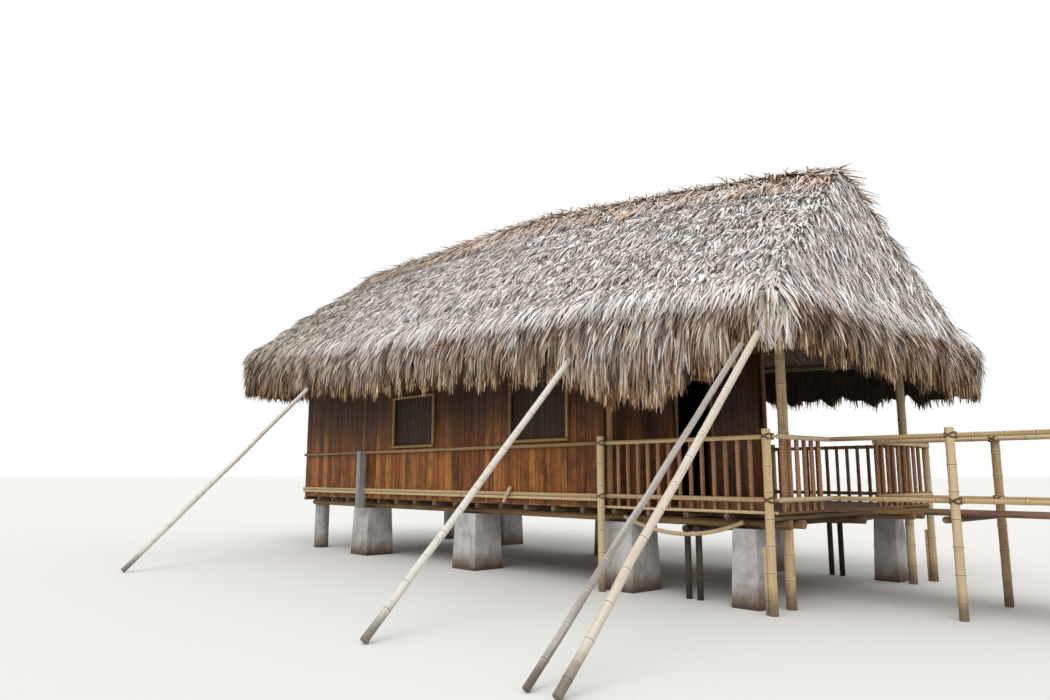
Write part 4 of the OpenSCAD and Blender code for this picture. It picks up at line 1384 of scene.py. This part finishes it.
def leaf_strip(name: str, segments: int, hang: float, tip: float, droop: float = 0.0) -> bpy.types.Object:
    """Makes the template of a leaf strip: one unit wide and long, curled by one unit of Z.

    Args:
        name: Name of the template.
        segments: Faces along the strip.
        hang: How far the strip's middle arches up.
        tip: Width of the tip.
        droop: How far the tip falls.

    Returns:
        The template object, which isn't in the scene.
    """
    tapers_from, taper_length = 0.6, 0.4
    root_width, widens = 0.55, 1.4
    points, along = [], []
    for i in range(segments + 1):
        t = i / segments
        taper = 1.0 if t < tapers_from else 1.0 - (1.0 - tip) * (t - tapers_from) / taper_length
        half = 0.5 * min(1.0, root_width + widens * t) * taper
        z = hang * (math.sin(math.pi * 0.75 * t) - 0.9 * t * t) - droop * t * t
        points += [(-half, t, z), (half, t, z)]
        along += [t, t]
    faces = [(2 * i, 2 * i + 1, 2 * i + 3, 2 * i + 2) for i in range(segments)]
    made = new_object(name, points, (), faces)
    note(made, "along", along)
    bpy.context.scene.collection.objects.unlink(made)
    return made


@dataclass
class ThatchRoof:
    """The palm leaf roof: slopes, hanging fringe and ridge."""

    slope_density: float = 960.0
    back_density: float = 700.0
    fringe_density: float = 1300.0
    back_fringe_density: float = 750.0
    shoulder_share: float = 0.75

    def slope(self, node: str, facing: Triple, density: float, seed: int) -> LeafLayer:
        """Returns the layer of short shaggy strips on one slope."""
        return LeafLayer(node, THATCH_LEAF, density, seed, length=0.24, length_spread=0.5, width=0.025,
                         lift=0.12, lift_spread=0.16, sway=0.65, roll=0.7, clump=1.5, clump_size=0.16,
                         facing=facing, least=0.25, filled=0.6, stretch=(4.0, 4.0, 4.0))

    def shoulder(self, node: str, facing: Triple, density: float, seed: int) -> LeafLayer:
        """Returns the layer of strips that roll over the edge between a slope and its fringe."""
        return LeafLayer(node, THATCH_LEAF, density, seed, length=0.52, length_spread=0.4, width=0.020,
                         lift=0.08, lift_spread=0.12, sway=0.5, roll=0.7, clump=1.0, clump_size=0.2,
                         facing=facing, least=0.25, filled=0.7, stretch=(4.0, 4.0, 4.0), shoulder=0.45,
                         least_curl=0.4)

    def curtain(self, node: str, facing: Triple, density: float, seed: int) -> LeafLayer:
        """Returns the layer of long strips that hang from one eave."""
        across = (1.6, 9.0, 1.1) if facing[0] else (9.0, 1.6, 1.1)
        return LeafLayer(node, FRINGE_LEAF, density, seed, length=0.48, length_spread=0.5, width=0.019,
                         lift=0.02, lift_spread=0.12, sway=0.16, roll=0.9, overhang=0.2, clump=0.7,
                         clump_size=0.14, hanging=True, facing=facing, least=0.3, filled=0.1, stretch=across)

    def ridge(self) -> LeafLayer:
        """Returns the layer of strips that lie over the ridge."""
        return LeafLayer("ridge_cap", RIDGE_LEAF, 420.0, 211, length=0.36, length_spread=0.4, width=0.026,
                         lift=0.03, lift_spread=0.10, sway=1.1, roll=0.5, clump=2.5, clump_size=0.4,
                         least=0.2)

    def crest(self) -> LeafLayer:
        """Returns the layer of strips that stick out every way along the top of the ridge."""
        return LeafLayer("ridge_cap", RIDGE_LEAF, 260.0, 231, length=0.26, length_spread=0.4, width=0.026,
                         lift=0.04, lift_spread=0.09, sway=6.0, roll=0.6, clump=4.0, clump_size=0.3,
                         least=0.9)

    def tufts(self) -> CornerTufts:
        """Returns the strips that fan out over the corners."""
        return CornerTufts("thatch_front", THATCH_LEAF, 1500.0, 251, length=0.40, length_spread=0.4,
                           width=0.024, lift=0.02, lift_spread=0.10, sway=0.2, roll=0.8, clump=0.4,
                           clump_size=0.15, least_curl=0.3)

    def build(self) -> None:
        """Builds the strips of all slopes, fringes and the ridge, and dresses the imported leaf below."""
        short = leaf_strip("short_strip", segments=2, hang=0.14, tip=0.25)
        long = leaf_strip("long_strip", segments=3, hang=0.05, tip=0.2)
        rolled = leaf_strip("rolled_strip", segments=3, hang=0.12, tip=0.2, droop=0.35)
        sides = (("front", (0, -1), self.slope_density, self.fringe_density),
                 ("back", (0, 1), self.back_density, self.back_fringe_density),
                 ("left", (-1, 0), self.slope_density, self.fringe_density),
                 ("right", (1, 0), self.slope_density, self.fringe_density))
        for i, (side, (x, y), density, _) in enumerate(sides):
            node, facing = "thatch_" + side, (0.5 * x, 0.3 * y, 1)
            self.slope(node, facing, density, 11 + 20 * i).build(short, node + "_strips")
            self.shoulder(node, facing, self.shoulder_share * density, 311 + 20 * i).build(
                rolled, node + "_shoulder")
        for i, (side, (x, y), _, density) in enumerate(sides):
            node = "fringe_" + side
            self.curtain(node, (x, y, 0), density, 101 + 20 * i).build(long, node + "_strips")
        self.ridge().build(short, "ridge_strips")
        self.crest().build(short, "crest_strips")
        self.tufts().build(rolled, "corner_strips")
        dress(PACKED_LONG, "thatch_front", "thatch_back")
        dress(PACKED_END, "thatch_left", "thatch_right")
        dress(PACKED_FRINGE_LONG, "fringe_front", "fringe_back")
        dress(PACKED_FRINGE_END, "fringe_left", "fringe_right")
        dress(PACKED_RIDGE, "ridge_cap")


# Boards

@dataclass(frozen=True)
class Board:
    """One board: its lowest corner, its highest corner and its tone."""

    low: Triple
    high: Triple
    tone: float


def corner_at(axis: int, along: float, across: float, height: float) -> Triple:
    """Puts a corner together for a wall or floor whose run is along X (0) or Y (1)."""
    return (across, along, height) if axis else (along, across, height)


def side_by_side(low: float, high: float, width: float, gap: float) -> list[tuple[float, float]]:
    """Shares a width out among equal boards.

    Args:
        low: Where the first board starts.
        high: Where the last board ends.
        width: Width that a board comes near.
        gap: Gap between two boards.

    Returns:
        Start and end of each board.
    """
    count = max(2, round((high - low) / width))
    pitch = (high - low) / count
    starts = [low + i * pitch + (gap / 2 if i else 0) for i in range(count)]
    ends = [low + (i + 1) * pitch - (gap / 2 if i < count - 1 else 0) for i in range(count)]
    return list(zip(starts, ends))


def lay_boards(boards: Sequence[Board], finish: BoardFinish, name: str, nodes: Sequence[str],
               skew: float = 0.0, seed: int = 5) -> bpy.types.Object:
    """Makes one piece of many boards.

    Args:
        boards: The boards to lay.
        finish: Their finish.
        name: Name of the piece.
        nodes: CAD nodes that the piece stands for.
        skew: Largest turn of a board out of true, in radians.
        seed: Seed of that turn.

    Returns:
        The piece.
    """
    centres = [[(a + b) / 2 for a, b in zip(board.low, board.high)] for board in boards]
    guide = new_object(name + "_places", centres)
    note(guide, "size", [b - a for board in boards for a, b in zip(board.low, board.high)], "FLOAT_VECTOR")
    note(guide, "tone", [board.tone for board in boards])
    values = {"Skew": skew, "Seed": seed, "Material": finish.material()}
    return settle(grow(guide, tree_of(board_tree), values, name, bevel=0.0025), finish, *nodes)


@dataclass
class BoardWall:
    """A wall of upright boards in two layers, cut round its windows."""

    node: str
    side: Side
    seed: int
    widths: tuple[float, float] = (0.14, 0.24)
    gap: float = 0.009
    layer: float = 0.022
    between: float = 0.004
    inner_wider: float = 1.6
    last_wider: float = 1.6
    unevenness: float = 0.004
    skew: float = 0.0008
    sliver: float = 0.002
    top_band: float = 0.6

    def top_line(self) -> Callable[[float], float]:
        """Reads the wall's top edge.

        Returns:
            A function that gives the top's height at a place along the wall.
        """
        axis = self.side.axis
        points = points_of(self.node)
        upper = points[points[:, 2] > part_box(self.node)[1].z - self.top_band]
        places = np.unique(upper[:, axis].round(3))
        tops = np.array([upper[np.abs(upper[:, axis] - p) < self.sliver][:, 2].max() for p in places])
        straight = np.interp(places, places[[0, -1]], tops[[0, -1]])
        keep = tops > straight - 0.02
        return lambda place: float(np.interp(place, places[keep], tops[keep]))

    def holes(self) -> list[tuple[float, float, float, float]]:
        """Finds the window holes of a long wall.

        Returns:
            The start, end, foot and head of each hole.
        """
        low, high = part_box(self.node)
        found = []
        for part in parts_of("window_shutters") if self.side.axis == 0 else ():
            a, b = part.min(0), part.max(0)
            if low.y - 0.01 < a[1] and b[1] < high.y + 0.01:
                found.append((a[0], b[0], a[2], b[2]))
        return found

    def boards(self) -> list[Board]:
        """Cuts the boards of both layers.

        Returns:
            The boards, outer layer first.
        """
        low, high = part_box(self.node)
        axis, across = self.side.axis, 1 - self.side.axis
        out = self.side.value[across]
        face = low[across] if out < 0 else high[across]
        top, holes = self.top_line(), self.holes()
        cuts = sorted({low[axis], high[axis], *[h[0] for h in holes], *[h[1] for h in holes]})
        thick = high[across] - low[across]
        layers = ((0.0, self.layer, 1.0), (self.layer + self.between, thick, self.inner_wider))
        chance = random.Random(self.seed)
        made = []
        for near, far, wider in layers:
            inside, outside = sorted((face - out * near, face - out * far))
            for start, stop in zip(cuts, cuts[1:]):
                place = start
                while place < stop - self.sliver:
                    width = chance.uniform(*self.widths) * wider
                    end = place + width if place + width * self.last_wider < stop else stop
                    hole = [h for h in holes if h[0] - 0.001 < (place + end) / 2 < h[1] + 0.001]
                    roof = min(top(place), top(end))
                    spans = [(low.z, roof)] if not hole else [(low.z, hole[0][2]), (hole[0][3], roof)]
                    tone = chance.random()
                    left = place + (self.gap / 2 if place > cuts[0] else 0)
                    right = end - (self.gap / 2 if end < cuts[-1] else 0)
                    for foot, head in spans:
                        step = 0.0 if near else chance.uniform(0, self.unevenness)
                        a, b = (inside + step, outside) if out < 0 else (inside, outside - step)
                        made.append(Board(corner_at(axis, left, a, foot), corner_at(axis, right, b, head),
                                          tone))
                    place = end
        return made

    def build(self) -> None:
        """Lays the wall's boards in place of its CAD node."""
        lay_boards(self.boards(), WALL_BOARD, self.node + "_boards", [self.node], self.skew, self.seed)


@dataclass
class BoardFloor:
    """A floor of boards side by side, whose long boards are joined end to end."""

    node: str
    axis: int = 1
    width: float = 0.16
    gap: float = 0.005
    end_gap: float = 0.002
    longest: float = 3.0
    seed: int = 71

    def build(self) -> None:
        """Lays boards that run along the given axis in place of the slab."""
        low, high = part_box(self.node)
        start, stop = low[self.axis], high[self.axis]
        across = 1 - self.axis
        chance = random.Random(self.seed)
        boards = []
        for left, right in side_by_side(low[across], high[across], self.width, self.gap):
            joint = start + (stop - start) * chance.uniform(0.3, 0.7)
            ends = [start, joint, stop] if stop - start > self.longest else [start, stop]
            for p, q in zip(ends, ends[1:]):
                near = p + (self.end_gap if p > ends[0] else 0)
                far = q - (self.end_gap if q < ends[-1] else 0)
                boards.append(Board(corner_at(self.axis, near, left, low.z),
                                    corner_at(self.axis, far, right, high.z), chance.random()))
        lay_boards(boards, FLOOR_BOARD, self.node + "_boards", [self.node], seed=self.seed)


@dataclass
class Shutters:
    """The board shutters that close the windows, and the plank behind the porch's lower rail."""

    width: float = 0.13
    gap: float = 0.005
    seed: int = 91

    def build(self) -> None:
        """Lays upright boards in each shutter, and the plank."""
        chance = random.Random(self.seed)
        boards = []
        for part in parts_of("window_shutters"):
            low, high = part.min(0), part.max(0)
            for left, right in side_by_side(low[0], high[0], self.width, self.gap):
                boards.append(Board((left, low[1], low[2]), (right, high[1], high[2]), chance.random()))
        lay_boards(boards, SHUTTER_BOARD, "shutter_boards", ["window_shutters"], seed=self.seed)
        low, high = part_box("kick_board")
        kick = [Board(tuple(low), tuple(high), 0.5)]
        lay_boards(kick, KICK_BOARD, "kick_plank", ["kick_board"], seed=self.seed)


# Bamboo

@dataclass
class CulmSet:
    """Bamboo culms that stand for round poles of CAD nodes."""

    nodes: tuple[str, ...]
    finish: CulmFinish
    name: str
    seed: int
    bend: float = 0.012
    swell: float = 0.10
    sides: int = 10
    step: float = 0.026
    tones: tuple[float, ...] = ()
    sagging: bool = False
    extra: tuple[Culm, ...] = ()

    def lines(self) -> list[tuple[list[Vector], float]]:
        """Reads the culms of the set.

        Returns:
            The axis points and the radius of every culm.
        """
        if self.sagging:
            return [line for node in self.nodes for line in sagging_culms_of(node)]
        culms = [culm for node in self.nodes for culm in culms_of(node)] + list(self.extra)
        return [([culm.start, culm.end], culm.radius) for culm in culms]

    def build(self) -> None:
        """Grows the culms on the axes of the CAD poles."""
        chance = random.Random(self.seed)
        points, edges, thick, tones, shifts = [], [], [], [], []
        for i, (line, radius) in enumerate(self.lines()):
            edges += [(len(points) + k, len(points) + k + 1) for k in range(len(line) - 1)]
            points += line
            thick += [radius] * len(line)
            tones += [self.tones[i % len(self.tones)] if self.tones else chance.random()] * len(line)
            shifts += [chance.uniform(0, self.finish.spacing)] * len(line)
        guide = new_object(self.name + "_lines", points, edges)
        for name, values in (("thick", thick), ("tone", tones), ("shift", shifts)):
            note(guide, name, values)
        values = {"Step": self.step, "Spacing": self.finish.spacing, "Swell": self.swell, "Bend": self.bend,
                  "Sides": self.sides, "Material": self.finish.material()}
        piece = grow(guide, tree_of(culm_tree), values, self.name)
        for face in piece.data.polygons:
            face.use_smooth = True
        settle(piece, self.finish, *self.nodes)


@dataclass(frozen=True)
class Crossing:
    """Where a rail passes a post: the middle between their axes, both poles and ways, and the step across."""

    middle: Vector
    rail: Culm
    post: Culm
    along: Vector
    up: Vector
    apart: Vector


@dataclass
class Lashings:
    """Vine ties where the rails cross the posts."""

    rails: tuple[str, ...] = ("low_wall_rails", "hand_wall_rails", "porch_low_rails", "porch_hand_rails",
                              "walkway_rails")
    posts: tuple[str, ...] = ("rail_posts", "walkway_posts", "porch_roof_posts")
    thick: float = 0.005
    pitch: float = 0.012
    turns: int = 2
    corners: int = 20
    roundness: float = 0.6
    sunk: float = 0.4
    reach: float = 0.03
    step: float = 0.022
    sides: int = 5

    def crossing(self, rail: Culm, post: Culm) -> Crossing | None:
        """Finds where a rail passes a post.

        Args:
            rail: The rail.
            post: The post.

        Returns:
            The crossing, or None where they stay apart.
        """
        along, up = (rail.end - rail.start), (post.end - post.start)
        near = intersect_line_line(rail.start, rail.end, post.start, post.end)
        if near is None:
            return None
        a, b = near
        s = (a - rail.start).dot(along) / along.length_squared
        t = (b - post.start).dot(up) / up.length_squared
        if not (0 < s < 1 and 0 < t < 1) or (a - b).length > rail.radius + post.radius + self.reach:
            return None
        return Crossing((a + b) / 2, rail, post, along.normalized(), up.normalized(), a - b)

    def loop(self, at: Crossing, sign: int, turn: int) -> list[Vector]:
        """Bends one turn of vine round both poles.

        Args:
            at: The crossing.
            sign: 1 or -1 for the two ways that a tie crosses itself.
            turn: Number of the turn.

        Returns:
            The points of the closed turn.
        """
        toward = at.apart.normalized()
        slant = (at.along * (at.post.radius + self.thick / 2)
                 + sign * at.up * (at.rail.radius + self.thick / 2))
        axis = slant.cross(toward).normalized()
        centre = at.middle + axis * self.pitch * (turn - (self.turns - 1) / 2)
        found = []
        for i in range(self.corners):
            c, s = math.cos(math.tau * i / self.corners), math.sin(math.tau * i / self.corners)
            deep = at.apart.length / 2 + (at.rail if s > 0 else at.post).radius + self.thick * self.sunk
            found.append(centre + slant * math.copysign(abs(c) ** self.roundness, c)
                         + toward * deep * math.copysign(abs(s) ** self.roundness, s))
        return found

    def build(self) -> None:
        """Winds a crossed tie round every crossing."""
        points: list[Vector] = []
        edges: list[tuple[int, int]] = []
        rails, posts = ([c for node in nodes for c in culms_of(node)] for nodes in (self.rails, self.posts))
        found = [self.crossing(rail, post) for rail in rails for post in posts]
        for at in [crossing for crossing in found if crossing]:
            for sign in (1, -1):
                for turn in range(self.turns):
                    first, count = len(points), self.corners
                    points += self.loop(at, sign, turn)
                    edges += [(first + i, first + (i + 1) % count) for i in range(count)]
        guide = new_object("tie_lines", points, edges)
        for name, value in (("thick", self.thick), ("tone", 0.5), ("shift", 0.0)):
            note(guide, name, [value] * len(points))
        values = {"Step": self.step, "Spacing": 99.0, "Swell": 0.0, "Bend": 0.0, "Sides": self.sides,
                  "Material": TIE_VINE.material()}
        settle(grow(guide, tree_of(culm_tree), values, "rail_ties"), TIE_VINE)


@dataclass
class BambooWork:
    """Rails, posts, window frames, balusters, floor edges, props and the walkway's poles."""

    stub: Culm = Culm(Vector((0.365, -0.452, 1.19)), Vector((0.545, -0.462, 1.43)), 0.028)

    def build(self) -> None:
        """Builds every set of culms."""
        for culms in (
                CulmSet(("low_wall_rails",), STRAW_CULM, "wall_rail_culms", 31, bend=0.02),
                CulmSet(("hand_wall_rails",), EAVE_SHADED_CULM, "wall_hand_rail_culms", 43, bend=0.02),
                CulmSet(("porch_low_rails", "porch_hand_rails"), STRAW_CULM, "porch_rail_culms", 32,
                        bend=0.008),
                CulmSet(("edge_bamboos",), STRAW_CULM, "floor_edge_culms", 33),
                CulmSet(("window_frames", "door_frame"), EAVE_SHADED_CULM, "frame_culms", 34, bend=0.004),
                CulmSet(("slack_bamboo",), STRAW_CULM, "slack_culms", 41, bend=0.0, sagging=True),
                CulmSet((), STRAW_CULM, "wall_stub", 42, bend=0.0, swell=0.03, sides=12, extra=(self.stub,)),
                CulmSet(("rail_posts",), STRAW_CULM, "rail_post_culms", 35, bend=0.006, sides=14),
                CulmSet(("front_balusters", "end_balusters"), RED_CULM, "baluster_culms", 36, bend=0.004,
                        sides=8),
                CulmSet(("wall_posts",), RED_CULM, "wall_post_culms", 37, bend=0.004, sides=12),
                CulmSet(("eave_props",), BLEACHED_CULM, "eave_prop_culms", 38, bend=0.05, sides=16, step=0.02,
                        tones=(0.5, 0.6, 0.05, 0.95)),
                CulmSet(("porch_roof_posts",), STRAW_CULM, "porch_post_culms", 39, bend=0.006, sides=12),
                CulmSet(("walkway_posts", "walkway_rails"), STRAW_CULM, "walkway_culms", 40, bend=0.008)):
            culms.build()


# Piers and frame

@dataclass
class BlockPiers:
    """Pale block piers with worn edges."""

    nodes: tuple[str, ...] = ("front_piers", "back_piers")
    edge: float = 0.018
    wear: float = 0.006
    flat: float = 0.02
    sharpest: float = 0.9
    longest: float = 0.09
    rounds: int = 4
    waves: tuple[float, float, float, float] = (23.1, 9.7, 19.3, 13.9)

    def build(self) -> None:
        """Bevels, cuts finer and roughens a copy of the piers."""
        for node in self.nodes:
            mesh = merged(node)
            bmesh.ops.dissolve_limit(mesh, angle_limit=self.flat, verts=mesh.verts, edges=mesh.edges)
            heights = [v.co.z for v in mesh.verts]
            low, high = min(heights), max(heights)
            sharp = [e for e in mesh.edges if len(e.link_faces) == 2 and e.calc_face_angle(0) > self.sharpest
                     and max(v.co.z for v in e.verts) > low + 0.01]
            bmesh.ops.bevel(mesh, geom=sharp, offset=self.edge, segments=2, profile=0.6, affect="EDGES")
            bmesh.ops.triangulate(mesh, faces=mesh.faces)
            for _ in range(self.rounds):
                long = [e for e in mesh.edges if e.calc_length() > self.longest]
                if long:
                    bmesh.ops.subdivide_edges(mesh, edges=long, cuts=1)
                    bmesh.ops.triangulate(mesh, faces=[f for f in mesh.faces if len(f.verts) > 3])
            mesh.normal_update()
            p, q, r, s = self.waves
            for v in mesh.verts:
                if low + 0.002 < v.co.z < high - 0.002:
                    rough = math.sin(v.co.x * p + v.co.z * q) * math.cos(v.co.y * r - v.co.z * s)
                    v.co -= v.normal * self.wear * (0.5 + 0.5 * rough)
            piece = object_of(mesh, node + "_blocks")
            piece.data.materials.append(PIER_BLOCK.material())
            settle(piece, PIER_BLOCK, node)


@dataclass
class TimberFrame:
    """The poles and posts of the frame, which keep their CAD shape."""

    lengthwise: tuple[str, ...] = ("floor_bearers", "wall_plates", "ridge_pole", "roof_battens")
    crosswise: tuple[str, ...] = ("floor_joists", "end_plates", "front_rafters", "back_rafters",
                                  "hip_rafters", "walkway_bearers")

    def build(self) -> None:
        """Dresses the frame's CAD nodes."""
        dress(FRAME_LONG, *self.lengthwise)
        dress(FRAME_CROSS, *self.crosswise)
        dress(FRAME_UP, "king_posts")
        dress(DARK_POST, "stub_posts")
        dress(DARK_LOG, "stub_logs")
        dress(GREY_TIMBER, "grey_post")


# Studio

@dataclass
class Studio:
    """Camera, lamp, white surroundings and a pale floor. Its angles are in degrees."""

    eye: Triple = (10.477, -9.085, 1.618)
    pitch: float = 8.90
    heading: float = 48.0
    lens: float = 27.43
    sensor: float = 36.0
    farthest: float = 3000.0
    floor_colour: str = "#dddcd8"
    floor_half: float = 900.0
    sky: float = 1.0
    sky_low: float = 0.35
    sun: float = 1.5
    sun_width: float = 50.0
    sun_turn: Triple = (38.0, 10.0, 20.0)

    def set_camera(self) -> None:
        """Sets the camera where the photograph was taken."""
        data = bpy.data.cameras.new("photo_view")
        data.lens = self.lens
        data.sensor_width = self.sensor
        data.clip_end = self.farthest
        camera = linked("photo_view", data)
        camera.location = self.eye
        camera.rotation_euler = (math.radians(90 + self.pitch), 0.0, math.radians(self.heading))
        bpy.context.scene.camera = camera

    def set_lamp(self) -> None:
        """Sets the soft lamp."""
        lamp = bpy.data.lights.new("soft_sun", "SUN")
        lamp.energy = self.sun
        lamp.angle = math.radians(self.sun_width)
        linked("soft_sun", lamp).rotation_euler = [math.radians(turn) for turn in self.sun_turn]

    def set_surroundings(self) -> None:
        """Sets surroundings that look white, and light the house more from above than from below."""
        world = bpy.data.worlds.new("studio")
        world.use_nodes = True
        world.node_tree.nodes.clear()
        w = Wiring(world.node_tree)
        path = w.add("ShaderNodeLightPath").outputs
        mirrored = w.plus(path["Is Camera Ray"], path["Is Glossy Ray"])
        seen = w.math("ADD", mirrored, path["Is Transmission Ray"], True)
        height = w.axis(w.add("ShaderNodeTexCoord").outputs["Generated"], 2)
        strength = w.mix_value(seen, w.span(height, -0.05, 0.75, self.sky_low, self.sky), 1.0)
        glow = w.add("ShaderNodeBackground", None, Color=(1.0, 1.0, 1.0, 1.0), Strength=strength)
        w.feed(w.add("ShaderNodeOutputWorld"), "i0", glow.outputs[0])
        bpy.context.scene.world = world
        bpy.context.scene.view_settings.view_transform = "Standard"

    def set_floor(self) -> None:
        """Lays the pale floor at the foot of the piers."""
        half = self.floor_half
        corners = [(-half, -half, 0), (half, -half, 0), (half, half, 0), (-half, half, 0)]
        floor = new_object("floor", corners, (), [(0, 1, 2, 3)])
        pale = bpy.data.materials.new("pale_floor")
        pale.use_nodes = True
        shader = pale.node_tree.nodes["Principled BSDF"]
        shader.inputs["Base Color"].default_value = linear(self.floor_colour)
        shader.inputs["Roughness"].default_value = 0.9
        floor.data.materials.append(pale)

    def build(self) -> None:
        """Sets the camera, the lamp, the surroundings and the floor."""
        for part in (self.set_camera, self.set_lamp, self.set_surroundings, self.set_floor):
            part()


def main() -> None:
    """Builds the studio and every sub-assembly."""
    logging.basicConfig(level=logging.INFO, format="%(message)s")
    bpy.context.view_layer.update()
    walls = (("front_wall", Side.FRONT), ("back_wall", Side.BACK), ("left_wall", Side.LEFT),
             ("porch_wall_front", Side.PORCH), ("porch_wall_back", Side.PORCH),
             ("porch_wall_head", Side.PORCH))
    for assembly in (Studio(), TimberFrame(), BlockPiers(),
                     *[BoardWall(node, side, seed) for seed, (node, side) in enumerate(walls, 41)],
                     BoardFloor("floor_deck"), BoardFloor("walkway_deck", seed=72), Shutters(), BambooWork(),
                     Lashings(), ThatchRoof()):
        LOG.info("building %s", type(assembly).__name__)
        assembly.build()


if __name__ == "__main__":
    main()
